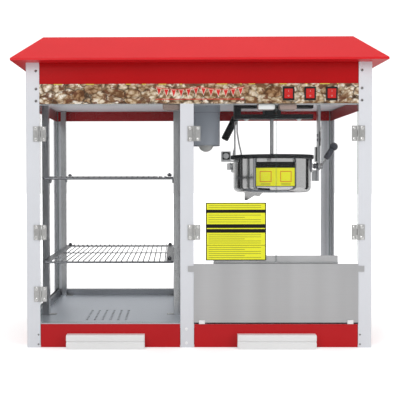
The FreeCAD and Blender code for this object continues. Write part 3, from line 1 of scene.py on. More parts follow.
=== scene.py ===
import bpy
import bmesh
import math
import numpy as np
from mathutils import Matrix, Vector


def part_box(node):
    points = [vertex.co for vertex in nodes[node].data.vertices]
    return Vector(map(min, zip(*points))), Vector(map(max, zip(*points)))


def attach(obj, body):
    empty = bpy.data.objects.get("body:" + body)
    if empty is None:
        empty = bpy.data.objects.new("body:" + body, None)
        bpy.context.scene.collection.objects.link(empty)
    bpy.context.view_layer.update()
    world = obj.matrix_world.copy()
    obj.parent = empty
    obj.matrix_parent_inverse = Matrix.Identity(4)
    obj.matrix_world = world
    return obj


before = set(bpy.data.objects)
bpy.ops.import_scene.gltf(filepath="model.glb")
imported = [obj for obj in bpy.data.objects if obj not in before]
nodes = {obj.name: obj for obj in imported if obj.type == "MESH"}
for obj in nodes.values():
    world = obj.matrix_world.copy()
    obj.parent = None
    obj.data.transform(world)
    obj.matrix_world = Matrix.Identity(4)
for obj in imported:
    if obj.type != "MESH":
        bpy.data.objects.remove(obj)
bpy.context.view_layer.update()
print("frame loaded:", len(nodes), "nodes")


# camera, light and floor

cameraLook = {
    "place": (-0.0616, -1.6688, 0.4063),
    "pitchDown": 1.004, "roll": 0.1102, "yaw": 0.4364,      # degrees
    "lens": 56.177, "sensor": 36,                           # millimetres
    "shiftX": 0.0799, "shiftY": -0.03, "clipEnd": 60,
}

studioLook = {
    "worldStrength": 0.56, "mirrorStrength": 0.62, "backdropStrength": 1.15,
    "lamps": (("key", (-1.5, -2.7, 2.2), 1.6, 30), ("fill", (2.3, -2.2, 1.2), 1.4, 24),
              ("top", (0.0, 0.2, 3.0), 2.4, 26)),           # name, place, size, power
    "aim": (0.0, 0.0, 0.38),
    "floorRadius": 14.0, "floorSides": 96, "floorColour": (0.84, 0.84, 0.84), "floorRough": 0.9,
    "fadeStretch": (0.8, 1.0, 0.0), "fade": (0.42, 1.1, 0.75, 1.7),     # glow near and far, from and to
    "cards": (((-0.66, -0.56, 0.45), (0.20, 1.5), -57), ((-0.70, 0.42, 0.45), (0.50, 1.5), -114),
              ((1.12, 0.42, 0.45), (0.34, 1.5), 114), ((1.10, -0.62, 0.45), (0.12, 1.5), 58),
              ((-0.42, -2.1, 0.75), (0.5, 0.5), 0)),
    "cardDark": (0.02, 0.02, 0.02), "cardPale": (0.05, 0.05, 0.05), "cardGrain": 30,
}


def newObject(name, data):
    thing = bpy.data.objects.new(name, data)
    bpy.context.collection.objects.link(thing)
    return thing


def fullTurn(count):
    # equal angles once round
    return np.arange(count) * 2 * math.pi / count


def turnedRows(rows, angle):
    # rows of (radius, height), a radius being one number or one per angle: (r cos a, r sin a, height)
    return np.concatenate([np.stack([r * np.cos(angle), r * np.sin(angle), np.full_like(angle, z)], 1)
                           for r, z in rows])


def addCamera(look):
    camera = newObject("camera", bpy.data.cameras.new("camera"))
    camera.location = look["place"]
    turn = (90 - look["pitchDown"], look["roll"], look["yaw"])
    camera.rotation_euler = [math.radians(angle) for angle in turn]
    camera.data.lens, camera.data.sensor_width = look["lens"], look["sensor"]
    camera.data.shift_x, camera.data.shift_y = look["shiftX"], look["shiftY"]
    camera.data.clip_end = look["clipEnd"]
    bpy.context.scene.camera = camera


def addSoftbox(name, place, size, power, aim, mirrored):
    lamp = bpy.data.lights.new(name, "AREA")
    lamp.shape = "SQUARE"
    lamp.size, lamp.energy = size, power
    box = newObject(name, lamp)
    box.location = place
    box.visible_glossy = mirrored
    box.rotation_euler = (Vector(aim) - Vector(place)).to_track_quat("-Z", "Y").to_euler()


def rayKind(tree, *kinds):
    # one where any of the named kinds of ray looks, else zero
    path = tree.nodes.new("ShaderNodeLightPath")
    seen = path.outputs[kinds[0]]
    for kind in kinds[1:]:
        seen = mathNode(tree, "MAXIMUM", seen, path.outputs[kind])
    return seen


def addStudio(look):
    scene = bpy.context.scene
    scene.view_settings.view_transform = "Standard"
    world = bpy.data.worlds.new("studio")
    scene.world = world
    world.use_nodes = True
    tree = world.node_tree
    low = look["worldStrength"]
    seen = mathNode(tree, "MULTIPLY", rayKind(tree, "Is Camera Ray", "Is Transmission Ray"),
                    look["backdropStrength"] - low)
    mirrored = mathNode(tree, "MULTIPLY", rayKind(tree, "Is Glossy Ray"), look["mirrorStrength"] - low)
    total = mathNode(tree, "ADD", mathNode(tree, "ADD", seen, mirrored), low)
    setInputs(tree.nodes["Background"], {"Color": (1, 1, 1), "Strength": total})
    for name, place, size, power in look["lamps"]:
        addSoftbox(name + "Light", place, size, power, look["aim"], name == "key")
    addFloor(look)
    for number, (place, (wide, tall), turn) in enumerate(look["cards"]):
        addCard(f"card{number}", look, place, wide, tall, turn)


def addFloor(look):
    # a flat disc: (r cos a, r sin a, 0), lit near the object and plain white further out
    rim = turnedRows([(look["floorRadius"], 0.0)], fullTurn(look["floorSides"]))
    mesh = bpy.data.meshes.new("floor")
    mesh.from_pydata(rim.tolist(), [], [list(range(look["floorSides"]))])
    floor = newObject("floor", mesh)
    material, tree, shader, place = startFinish("paleFloor")
    away = newNode(tree, "VectorMath", {0: mapped(tree, place, look["fadeStretch"])}, operation="LENGTH")
    glow = between(tree, away.outputs["Value"], *look["fade"])
    seen = rayKind(tree, "Is Camera Ray", "Is Transmission Ray")
    light = mathNode(tree, "MULTIPLY", seen, glow)
    setInputs(shader, {"Base Color": look["floorColour"], "Roughness": look["floorRough"],
                       "Emission Color": (1, 1, 1), "Emission Strength": light})
    mesh.materials.append(material)


def addCard(name, look, place, wide, tall, turn):
    # an upright dark board that only mirrors see: corners at plus and minus half its width and height
    half, rise = wide / 2, tall / 2
    corners = [(-half, 0, -rise), (half, 0, -rise), (half, 0, rise), (-half, 0, rise)]
    mesh = bpy.data.meshes.new(name)
    mesh.from_pydata(corners, [], [(0, 1, 2, 3)])
    card = newObject(name, mesh)
    card.location = place
    card.rotation_euler = (0, 0, math.radians(turn))
    for kind in ("camera", "diffuse", "shadow", "transmission"):
        setattr(card, "visible_" + kind, False)
    material, tree, shader, place = startFinish(name + "Cloth")
    tone = ramp(tree, noise(tree, place, look["cardGrain"]),
                [(toneFrom, look["cardDark"]), (toneTo, look["cardPale"])])
    setInputs(shader, {"Base Color": tone, "Roughness": 1.0, "Specular IOR Level": 0.0})
    mesh.materials.append(material)


# small node helpers shared by every finish

def setInputs(node, values):
    # a socket is linked and any other value set; a colour of three numbers gets an alpha of one
    for key, value in values.items():
        socket = node.inputs[key]
        if isinstance(value, bpy.types.NodeSocket):
            node.id_data.links.new(value, socket)
        else:
            socket.default_value = (*value, 1) if socket.type == "RGBA" else value
    return node


def newNode(tree, kind, values, **settings):
    # settings, such as the operation, come before the inputs
    node = tree.nodes.new("ShaderNode" + kind)
    for name, value in settings.items():
        setattr(node, name, value)
    return setInputs(node, values)


def mathNode(tree, operation, *values):
    return newNode(tree, "Math", dict(enumerate(values)), operation=operation).outputs[0]


def startFinish(name):
    material = bpy.data.materials.new(name)
    material.use_nodes = True
    tree = material.node_tree
    return material, tree, tree.nodes["Principled BSDF"], newNode(tree, "TexCoord", {}).outputs["Object"]


def mapped(tree, vector, scale):
    return newNode(tree, "Mapping", {"Vector": vector, "Scale": scale}).outputs["Vector"]


def noise(tree, vector, scale, detail=3.0, rough=0.5, output="Fac"):
    inputs = {"Vector": vector, "Scale": scale, "Detail": detail, "Roughness": rough}
    return newNode(tree, "TexNoise", inputs).outputs[output]


def between(tree, value, low, high, fromLow=0.0, fromHigh=1.0):
    inputs = {"Value": value, "From Min": fromLow, "From Max": fromHigh, "To Min": low, "To Max": high}
    return newNode(tree, "MapRange", inputs).outputs["Result"]


def ramp(tree, value, stops):
    node = newNode(tree, "ValToRGB", {"Fac": value})
    elements = node.color_ramp.elements
    while len(elements) < len(stops):
        elements.new(0.5)
    for element, (position, colour) in zip(elements, stops):
        element.position = position
        element.color = (*colour, 1)
    return node.outputs["Color"]


def blendColour(tree, factor, first, second, way="MIX"):
    factorIn, firstIn, secondIn, colourOut = 0, 6, 7, 2     # the mix node's sockets for colours
    inputs = {factorIn: factor, firstIn: first, secondIn: second}
    return newNode(tree, "Mix", inputs, data_type="RGBA", blend_type=way).outputs[colourOut]


def bump(tree, height, depth, strength):
    inputs = {"Height": height, "Distance": depth, "Strength": strength}
    return newNode(tree, "Bump", inputs).outputs["Normal"]


def axesOf(tree, vector):
    return newNode(tree, "SeparateXYZ", {"Vector": vector}).outputs


def scaled(colour, factor):
    return tuple(min(1.0, c * factor) for c in colour)


# finishes: a table's headings name the numbers of its rows

toneFrom, toneTo = 0.3, 0.7     # where a noise turns from dark to light


def table(headings, rows):
    return {name: dict(zip(headings, row)) for name, row in rows.items()}


def driftColour(tree, tone, look):
    # the look's colour, darker by its drift where the tone is low and lighter where it is high
    dark, light = (scaled(look["colour"], 1 + way * look["drift"]) for way in (-1, 1))
    return ramp(tree, tone, [(toneFrom, dark), (toneTo, light)])


def spreadRough(tree, tone, look, spread, *span):
    # the look's roughness, less and more by a share of itself over the tone's span
    rough = look["rough"]
    return between(tree, tone, rough * (1 - spread), rough * (1 + spread), *span)


paintGrain = {"drift": (9, 4), "sheen": (42, 3), "spread": 0.15, "peel": (620, 2), "peelDepth": 0.00004}
paintLooks = table(("colour", "drift", "rough", "peel", "coat", "coatRough", "shine"), {
    "whitePaint": ((0.71, 0.725, 0.765), 0.02, 0.38, 0.25, 0.1, 0.25, 0.45),
    # the same white paint made lighter for the rear posts and ceiling, which stand in shade: painted light
    "whiteWithPaintedLight": ((0.88, 0.90, 0.94), 0.02, 0.38, 0.25, 0.1, 0.25, 0.45),
    # the same red paint made lighter on the roof, where the light falls from above: painted light
    "roofRedPaintedLight": ((0.70, 0.012, 0.018), 0.03, 0.34, 0.3, 0.04, 0.2, 0.28),
    "panelRed": ((0.49, 0.006, 0.010), 0.04, 0.3, 0.3, 0.04, 0.15, 0.25),
    # the same red paint made darker on the front fascia, in the shade under the roof's lip: painted shade
    "fasciaRedPaintedShade": ((0.45, 0.004, 0.006), 0.04, 0.3, 0.3, 0.02, 0.15, 0.16),
    "blackEnamel": ((0.016, 0.017, 0.019), 0.15, 0.42, 0.4, 0.05, 0.3, 0.25),
    "greyEnamel": ((0.35, 0.38, 0.43), 0.06, 0.4, 0.35, 0.1, 0.3, 0.4),
    "canSteel": ((0.21, 0.235, 0.30), 0.06, 0.4, 0.35, 0.1, 0.3, 0.4),
    "screwPaint": ((0.90, 0.91, 0.92), 0.02, 0.3, 0.1, 0.3, 0.15, 0.5),
})
paintLooks["fasciaRedPaintedShade"].update(paleBelow=0.5817, pale=(0.70, 0.71, 0.74))      # its lower edge is white


def paint(name, look):
    # colour drifts with broad noise, gloss with a middle one, and fine noise gives the orange peel
    material, tree, shader, place = startFinish(name)
    drift, sheen, peel = (noise(tree, place, *paintGrain[kind]) for kind in ("drift", "sheen", "peel"))
    colour = driftColour(tree, drift, look)
    if "paleBelow" in look:
        low = mathNode(tree, "LESS_THAN", axesOf(tree, place)["Z"], look["paleBelow"])
        colour = blendColour(tree, low, colour, look["pale"])
    setInputs(shader, {
        "Base Color": colour, "Roughness": spreadRough(tree, sheen, look, paintGrain["spread"]),
        "Normal": bump(tree, peel, paintGrain["peelDepth"], look["peel"]), "Coat Weight": look["coat"],
        "Coat Roughness": look["coatRough"], "Specular IOR Level": look["shine"],
    })
    return material


brushGrain = {"lines": (4, 0.6), "lineShare": 0.7, "lineDepth": 0.00003, "cloud": (7, 3), "spread": 0.2,
              "bandStretch": (1, 1, 0.03), "bands": (11, 2), "bandFrom": 0.35, "bandTo": 0.65}
metalLooks = table(("colour", "drift", "rough", "depth", "stretch", "scale"), {
    "guardSteel": ((0.62, 0.62, 0.63), 0.035, 0.36, 0.2, (0.02, 1, 1), 900),
    "floorSteel": ((0.73, 0.77, 0.83), 0.06, 0.42, 0.3, (0.03, 1, 1), 700),
    "partSteel": ((0.50, 0.51, 0.52), 0.14, 0.3, 0.3, (1, 1, 0.04), 800),
    "brightSteel": ((0.70, 0.70, 0.70), 0.05, 0.10, 0.1, (0.1, 0.1, 1), 500),
    "wireSteel": ((0.21, 0.215, 0.23), 0.12, 0.30, 0.2, (1, 0.1, 1), 600),
    "sillMetal": ((0.30, 0.31, 0.33), 0.1, 0.4, 0.3, (1, 0.05, 1), 700),
    "hingeSteel": ((0.57, 0.57, 0.56), 0.16, 0.34, 0.4, (1, 1, 0.5), 420),
    "postScrewSteel": ((0.34, 0.34, 0.34), 0.15, 0.32, 0.3, (1, 1, 1), 900),
    "pegSteel": ((0.20, 0.20, 0.22), 0.15, 0.3, 0.3, (1, 1, 0.2), 700),
    "screwSteel": ((0.86, 0.86, 0.85), 0.1, 0.28, 0.2, (1, 1, 1), 900),
})
metalLooks["guardSteel"]["bands"] = 0.16
metalLooks["floorSteel"]["metal"] = 0.85


def brushed(name, look):
    # metal with hairlines: noise stretched along one axis moves colour, gloss and height together
    material, tree, shader, place = startFinish(name)
    lines = noise(tree, mapped(tree, place, look["stretch"]), look["scale"], *brushGrain["lines"])
    cloud = noise(tree, place, *brushGrain["cloud"])
    share = brushGrain["lineShare"]
    tone = mathNode(tree, "ADD", mathNode(tree, "MULTIPLY", lines, share),
                    mathNode(tree, "MULTIPLY", cloud, 1 - share))
    colour = driftColour(tree, tone, look)
    if "bands" in look:
        wide = noise(tree, mapped(tree, place, brushGrain["bandStretch"]), *brushGrain["bands"])
        shade = ramp(tree, wide, [(brushGrain["bandFrom"], (1 - look["bands"],) * 3),
                                  (brushGrain["bandTo"], (1.0,) * 3)])
        colour = blendColour(tree, 1.0, colour, shade, "MULTIPLY")
    rough = spreadRough(tree, tone, look, brushGrain["spread"], toneFrom, toneTo)
    setInputs(shader, {"Base Color": colour, "Metallic": look.get("metal", 1.0), "Roughness": rough,
                       "Normal": bump(tree, lines, brushGrain["lineDepth"], look["depth"])})
    return material


plasticGrain = {"cloud": (16, 3), "sheen": (90, 2), "spread": 0.15, "detail": 2, "depth": 0.00005}
plasticLooks = table(("colour", "drift", "rough", "grain", "depth", "shine"), {
    "whitePlastic": ((0.82, 0.82, 0.82), 0.015, 0.3, 900, 0.15, 0.5),
    "blackPlastic": ((0.014, 0.014, 0.015), 0.2, 0.42, 1100, 0.5, 0.3),
    # near-black for the strip in the slit under the guard: painted shade, not a real seal
    "sealRubber": ((0.010, 0.008, 0.008), 0.15, 0.6, 500, 0.2, 0.1),
    "gripPlastic": ((0.055, 0.058, 0.075), 0.12, 0.4, 900, 0.3, 0.5),
    "catchPlastic": ((0.36, 0.27, 0.24), 0.06, 0.4, 900, 0.3, 0.5),
    "rockerRed": ((0.56, 0.008, 0.006), 0.05, 0.2, 300, 0.1, 0.5),
    "placardYellow": ((0.84, 0.84, 0.018), 0.02, 0.35, 700, 0.1, 0.5),
    "placardBlack": ((0.012, 0.012, 0.012), 0.1, 0.35, 700, 0.1, 0.15),
    "printRed": ((0.66, 0.018, 0.016), 0.04, 0.3, 600, 0.1, 0.5),
    "printCream": ((0.80, 0.74, 0.60), 0.04, 0.3, 600, 0.1, 0.5),
    "ruleInk": ((0.10, 0.10, 0.02), 0.1, 0.4, 600, 0.1, 0.5),
    "markWhite": ((0.66, 0.36, 0.34), 0.03, 0.35, 600, 0.1, 0.5),
    "bulbGlass": ((0.62, 0.62, 0.60), 0.03, 0.25, 400, 0.05, 0.5),
})
plasticLooks["rockerRed"]["glow"] = 0.02


def plastic(name, look):
    # colour drifts with broad noise, gloss with a middle one, and fine noise gives the moulded grain
    material, tree, shader, place = startFinish(name)
    cloud, sheen = (noise(tree, place, *plasticGrain[kind]) for kind in ("cloud", "sheen"))
    grain = noise(tree, place, look["grain"], plasticGrain["detail"])
    setInputs(shader, {
        "Base Color": driftColour(tree, cloud, look), "Specular IOR Level": look["shine"],
        "Roughness": spreadRough(tree, sheen, look, plasticGrain["spread"]),
        "Normal": bump(tree, grain, plasticGrain["depth"], look["depth"]),
    })
    if "glow" in look:
        setInputs(shader, {"Emission Color": look["colour"], "Emission Strength": look["glow"]})
    return material


glassGrain = {"edgeBelow": 0.5, "power": 5, "smear": (5, 4), "smearSpan": (0.8, 1.2),
              "rough": 0.03, "ior": 1.5}
glassLooks = table(("axis", "glare", "veil", "edge", "faceColour", "edgeColour"), {
    "doorGlass": (1, 0.35, 0.004, 0.85, (0.80, 0.86, 0.86), (0.24, 0.34, 0.32)),
    "rearGlass": (1, 0.25, 0.007, 0.4, (0.86, 0.90, 0.90), (0.50, 0.60, 0.58)),
    "sideGlass": (0, 0.15, 0.003, 0.45, (0.86, 0.90, 0.90), (0.50, 0.60, 0.58)),
})


def clearGlass(name, look):
    # faces veil + glare * (1 - cos)^5, the same from both sides; greener and denser at the cut edges
    material, tree, shader, place = startFinish(name)
    across = mathNode(tree, "ABSOLUTE", axesOf(tree, place.node.outputs["Normal"])[look["axis"]])
    edge = mathNode(tree, "LESS_THAN", across, glassGrain["edgeBelow"])
    slant = newNode(tree, "LayerWeight", {}).outputs["Facing"]
    sheen = mathNode(tree, "POWER", slant, glassGrain["power"])
    face = mathNode(tree, "ADD", mathNode(tree, "MULTIPLY", sheen, look["glare"]), look["veil"])
    smear = between(tree, noise(tree, place, *glassGrain["smear"]), *glassGrain["smearSpan"])
    face = mathNode(tree, "MULTIPLY", face, smear)
    dense = mathNode(tree, "MULTIPLY", edge, look["edge"])
    colour = blendColour(tree, edge, look["faceColour"], look["edgeColour"])
    setInputs(shader, {"Alpha": mathNode(tree, "MAXIMUM", face, dense), "Base Color": colour,
                       "Roughness": glassGrain["rough"], "IOR": glassGrain["ior"]})
    return material


cornLook = {
    "stretch": (0.86, 0.0, 1.1), "cells": 38,
    "broadWarp": (1.1, 0.014), "fineWarp": (3.5, 0.007), "warpDetail": 2,       # share of cells, reach
    "kernelTones": [(0.0, (0.44, 0.28, 0.16)), (0.28, (0.75, 0.65, 0.50)), (0.6, (0.89, 0.84, 0.74)),
                    (1.0, (0.95, 0.93, 0.88))],
    "lobes": 2.7, "lobeSmooth": 0.15,
    "creaseTones": [(0.22, (1.0, 1.0, 1.0)), (0.50, (0.70, 0.60, 0.47)), (0.72, (0.27, 0.16, 0.09))],
    "crumbs": (6, 4, 0.6), "crumbShare": 0.8,                                   # share, detail, roughness
    "crumbTones": [(0.35, (0.70, 0.60, 0.47)), (0.6, (1.0, 1.0, 1.0))],
    "hulls": (1.9, 3, 0.5), "hullSpan": (0, 0.9, 0.555, 0.60), "hull": (0.15, 0.055, 0.025),
    "patches": (0.9, 3, 0.55), "patchSpan": (0.25, 1.0, 0.38, 0.60), "gapSpan": (0.95, 0, 0.01, 0.10),
    "shadow": (0.045, 0.026, 0.015),
    "line": (0.62, 0.58, 0.09), "lineFrom": 0.6251, "lineStretch": (1, 0, 0), "lineBreaks": (0.75, 2),
    "lineShown": 0.53, "sheen": (60, 2), "gloss": (0.26, 0.36), "shine": 0.3,
}


def poppedCorn(name, look):
    # a printed heap: warped cells are kernels with dark gaps between them, finer cells are their lobes
    material, tree, shader, place = startFinish(name)

    def clouds(vector, share, *kind, **more):
        return noise(tree, vector, look["cells"] * share, *kind, **more)

    def warp(vector, share, reach):
        bend = clouds(vector, share, look["warpDetail"], output="Color")
        return newNode(tree, "VectorMath", {0: bend, 1: (reach,) * 3, 2: vector},
                       operation="MULTIPLY_ADD").outputs["Vector"]

    def cells(share, feature, output, **inputs):
        inputs.update(Vector=fine, Scale=look["cells"] * share)
        return newNode(tree, "TexVoronoi", inputs, feature=feature).outputs[output]

    fine = warp(warp(mapped(tree, place, look["stretch"]), *look["broadWarp"]), *look["fineWarp"])
    kernel = newNode(tree, "SeparateColor", {"Color": cells(1, "F1", "Color")}).outputs[0]
    rim = cells(1, "DISTANCE_TO_EDGE", "Distance")
    lobe = cells(look["lobes"], "SMOOTH_F1", "Distance", Smoothness=look["lobeSmooth"])

    # one tone per kernel, darker in the creases between its lobes, darkest in the gaps between kernels
    base = ramp(tree, kernel, look["kernelTones"])
    base = blendColour(tree, 1.0, base, ramp(tree, lobe, look["creaseTones"]), "MULTIPLY")
    crumb = ramp(tree, clouds(fine, *look["crumbs"]), look["crumbTones"])
    base = blendColour(tree, look["crumbShare"], base, crumb, "MULTIPLY")
    hulls = between(tree, clouds(fine, *look["hulls"]), *look["hullSpan"])
    base = blendColour(tree, hulls, base, look["hull"])
    patch = between(tree, clouds(fine, *look["patches"]), *look["patchSpan"])
    gap = mathNode(tree, "MULTIPLY", patch, between(tree, rim, *look["gapSpan"]))
    base = blendColour(tree, gap, base, look["shadow"])

    # printed edge line along the top, broken where kernels lie over it
    band = mathNode(tree, "GREATER_THAN", axesOf(tree, place)["Z"], look["lineFrom"])
    breaks = clouds(mapped(tree, place, look["lineStretch"]), *look["lineBreaks"])
    shown = mathNode(tree, "MULTIPLY", band, mathNode(tree, "GREATER_THAN", breaks, look["lineShown"]))
    setInputs(shader, {
        "Base Color": blendColour(tree, shown, base, look["line"]), "Specular IOR Level": look["shine"],
        "Roughness": between(tree, noise(tree, place, *look["sheen"]), *look["gloss"]),
    })
    return material


nodeFinishes = {
    "whitePaint": "post_front_left post_front_right post_centre_front",
    "whiteWithPaintedLight": "post_rear_left post_rear_right post_centre_rear ceiling_plate",
    "roofRedPaintedLight": "roof",
    "fasciaRedPaintedShade": "fascia_front",
    "panelRed": "fascia_rear fascia_sides base_frame warmer_drawer popper_drawer",
    "cornPrint": "print_panel",
    "guardSteel": "front_guard",
    "floorSteel": "warmer_floor popper_floor",
    "hingeSteel": "hinge_fixed_leaves warmer_door_leaves popper_left_door_leaves popper_right_door_leaves",
    "partSteel": "shelf_uprights hanger_left hanger_right stir_shaft lift_collar stirrer kettle_handle_rod "
                 "warming_element lid_bail kettle_terminal",
    "brightSteel": "kettle_pot kettle_lid_front",
    "wireSteel": "wire_shelves",
    "sillMetal": "glass_sills shelf_clips",
    "blackEnamel": "hanger_frame gear_housing kettle_lid_rear",
    "greyEnamel": "lamp_can stir_motor",
    "whitePlastic": "warmer_drawer_handle popper_drawer_handle guard_clips",
    "blackPlastic": "cord_gland lift_lever switch_bezels",
    "gripPlastic": "kettle_grip",
    "catchPlastic": "magnetic_catches",
    "rockerRed": "switch_rocker_1 switch_rocker_2 switch_rocker_3",
    "bulbGlass": "lamp_bulb",
    "doorGlass": "warmer_door popper_left_door popper_right_door",
    "rearGlass": "glass_rears",
    "sideGlass": "glass_sides divider_glass",
}

addCamera(cameraLook)
addStudio(studioLook)
print("studio ready")

makers = ((paint, paintLooks), (brushed, metalLooks), (plastic, plasticLooks), (clearGlass, glassLooks),
          (poppedCorn, {"cornPrint": cornLook}))
finishes = {name: make(name, look) for make, looks in makers for name, look in looks.items()}
for finish, names in nodeFinishes.items():
    for node in names.split():
        nodes[node].data.materials.clear()
        nodes[node].data.materials.append(finishes[finish])
print("finishes:", len(finishes))


# meshes from arrays

meshLook = {"mergeWithin": 1e-6, "sharpFrom": 35}       # metres, degrees


def gridFaces(rows, columns, wrapRows=False, wrapColumns=False):
    # quads between neighbours; a point's number is row * columns + column
    row = np.arange(rows if wrapRows else rows - 1)
    column = np.arange(columns if wrapColumns else columns - 1)
    r, c = (part.ravel() for part in np.meshgrid(row, column, indexing="ij"))
    r2, c2 = (r + 1) % rows, (c + 1) % columns
    return np.stack([r * columns + c, r * columns + c2, r2 * columns + c2, r2 * columns + c], 1).tolist()


def carried(along, section):
    # a section of four (height, depth) corners repeated at every place along a line
    return np.column_stack([np.repeat(along, 4), np.tile(section, (len(along), 1))])


def carriedFaces(count):
    # the carried section's four sides and its two closed ends
    last = (count - 1) * 4
    return gridFaces(count, 4, wrapColumns=True) + [[0, 1, 2, 3], [last + 3, last + 2, last + 1, last]]


def addPiece(name, points, faces, body, finish, slot):
    mesh = bpy.data.meshes.new(name)
    mesh.from_pydata(points.tolist(), [], faces)
    work = bmesh.new()
    work.from_mesh(mesh)
    bmesh.ops.remove_doubles(work, verts=work.verts, dist=meshLook["mergeWithin"])
    bmesh.ops.recalc_face_normals(work, faces=work.faces)
    work.to_mesh(mesh)
    work.free()
    mesh.polygons.foreach_set("use_smooth", np.ones(len(mesh.polygons), bool))
    mesh.set_sharp_from_angle(angle=math.radians(meshLook["sharpFrom"]))
    mesh.materials.append(finishes[finish])
    piece = newObject(name, mesh)
    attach(piece, body)
    return piece


def turnedTo(points, facing, spin=0.0):
    # local x, y, z become the level line, the upright line and the outward normal of the face
    out = np.array(facing, float)
    out /= np.linalg.norm(out)
    level = np.array([1.0, 0, 0]) if abs(out[2]) > 0.9 else np.cross((0, 0, 1.0), out)
    level /= np.linalg.norm(level)
    up = np.cross(out, level)
    across = math.cos(spin) * level + math.sin(spin) * up
    upright = math.cos(spin) * up - math.sin(spin) * level
    return points @ np.stack([across, upright, out])


def placed(form, facing, spot, spin=0.0):
    # a form of (points, faces) turned to its facing and moved to its spot
    points, faces = form
    return turnedTo(points, facing, spin) + np.array(spot), faces


def joined(parts):
    # several (points, faces) as one, each part's faces moved on by the points before it
    points, faces, count = [], [], 0
    for some, quads in parts:
        points.append(some)
        faces += [[i + count for i in face] for face in quads]
        count += len(some)
    return np.concatenate(points), faces


def roundedPlate(wide, tall, corner, thick, bevel=0.0, steps=5):
    # outline: corner centres plus corner * (cos a, sin a); rows go from the back face up over the bevel
    quarter = np.radians(np.linspace(0, 90, steps))
    outline = []
    for number, (sideX, sideY) in enumerate(((1, 1), (-1, 1), (-1, -1), (1, -1))):
        angle = quarter + number * math.pi / 2
        outline.append(np.stack([sideX * (wide / 2 - corner) + corner * np.cos(angle),
                                 sideY * (tall / 2 - corner) + corner * np.sin(angle)], 1))
    outline = np.concatenate(outline)
    inner = outline * np.array([1 - 2 * bevel / wide, 1 - 2 * bevel / tall])
    rows = [(outline, 0.0), (outline, thick - bevel)] + ([(inner, thick)] if bevel else [])
    count = len(outline)
    points = np.concatenate([np.column_stack([ring, np.full(count, z)]) for ring, z in rows])
    back = list(range(count))
    face = [(len(rows) - 1) * count + i for i in back]
    return points, gridFaces(len(rows), count, wrapColumns=True) + [back[::-1], face]


def platesAt(plates, facing):
    # each plate is (wide, tall, corner, thick, bevel, centre)
    return joined([placed(roundedPlate(*sizes), facing, centre) for *sizes, centre in plates])


def plateFrom(look, wide, tall, centre):
    # a plate with its look's corner, thickness and bevel
    return wide, tall, look["corner"], look["thick"], look.get("bevel", 0.0), centre


def turned(rows, angle, closed=False):
    # rows of (radius, height) swung round Z; a closed form also joins its last row to its first
    return turnedRows(rows, angle), gridFaces(len(rows), len(angle), wrapRows=closed, wrapColumns=True)


def ringShape(radius, wide, thick, turns=48):
    # flat ring: a four-cornered section swung round its centre
    section = [(radius - wide, 0.0), (radius, 0.0), (radius, thick), (radius - wide, thick)]
    return turned(section, fullTurn(turns), closed=True)


def turnedRod(radius, low, high, turns=20, steps=5):
    # rod about Z: radius * sin at its two rounded ends, closed on the axis
    share = np.radians(np.linspace(0, 90, steps))
    rows = [(radius * math.sin(a), low + radius * (1 - math.cos(a))) for a in share]
    rows += [(radius * math.cos(a), high - radius * (1 - math.sin(a))) for a in share]
    return turned(rows, fullTurn(turns))


def sideways(turn):
    # level direction turned from the right, in degrees
    return math.cos(math.radians(turn)), math.sin(math.radians(turn)), 0.0


def middleX(name):
    # halfway between a node's left and right ends
    low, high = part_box(name)
    return (low[0] + high[0]) / 2


# the cabinet's own measures, and fasteners as one small form set at many places

front, rear, left, right = (0, -1, 0), (0, 1, 0), (-1, 0, 0), (1, 0, 0)
up, down = (0, 0, 1), (0, 0, -1)
halfWidth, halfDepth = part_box("post_rear_right")[1][:2]
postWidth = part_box("post_front_left")[1][0] + halfWidth
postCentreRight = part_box("post_centre_front")[1][0]

fastenerLook = {
    "screw": (0.0033, 0.0015), "footScrew": (0.0023, 0.0009), "centreScrew": (0.0036, 0.0014),
    "leafScrew": (0.0044, 0.0020), "doorScrew": (0.0036, 0.0015),   # each head's radius and rise
    "rivet": (0.0014, 0.0006),
    "bolt": (0.0046, 0.0034), "smallBolt": (0.0030, 0.0028),        # half across the flats, rise
    "sunk": 0.0003, "turnStep": 0.7, "headTurns": 32, "crownFall": 0.8,
    "crownRings": (1.0, 1.0, 0.9, 0.76, 0.62, 0.48, 0.36, 0.24, 0.12, 0.0), "hexStep": 7.5,
    "crossDeep": 0.6, "crossLong": (0.66, 0.06), "crossWide": (0.16, 0.05),     # reach, fade
    "washer": ((1.55, 0.16), (1.48, 0.24)), "hexTall": (0.24, 0.86), "hexTop": (0.96, 0.5, 0.0),
    "postTopHeights": (0.587, 0.6155, 0.658), "postTopIn": 0.0075,
    "postFootHeights": (0.008, 0.031), "postFootIn": 0.0046,
    "centreHeights": (0.011, 0.044), "centreShift": 0.002,
    "leafIn": 0.0093, "leafRise": 0.0129, "hingeEnd": 0.018, "hingeAxisIn": 0.003, "hingeProud": 0.0015,
    "hingeMiddle": 0.275,
}


def domeScrew(radius, rise, look):
    # crown rise * (1 - fall * share^2), cut by a cross whose arms fade out at their ends and sides
    share = np.array(look["crownRings"])
    angle = fullTurn(look["headTurns"])
    x, y = share[:, None] * np.cos(angle), share[:, None] * np.sin(angle)

    def arm(along, across):
        shares = [np.clip((reach - np.abs(line)) / fade, 0, 1)
                  for line, (reach, fade) in ((along, look["crossLong"]), (across, look["crossWide"]))]
        return shares[0] * shares[1]

    crown = 1 - look["crownFall"] * share[:, None] ** 2
    z = rise * crown - look["crossDeep"] * rise * np.maximum(arm(x, y), arm(y, x))
    z[0] = -look["sunk"]
    points = np.stack([x * radius, y * radius, z], 2).reshape(-1, 3)
    return points, gridFaces(len(share), len(angle), wrapColumns=True)


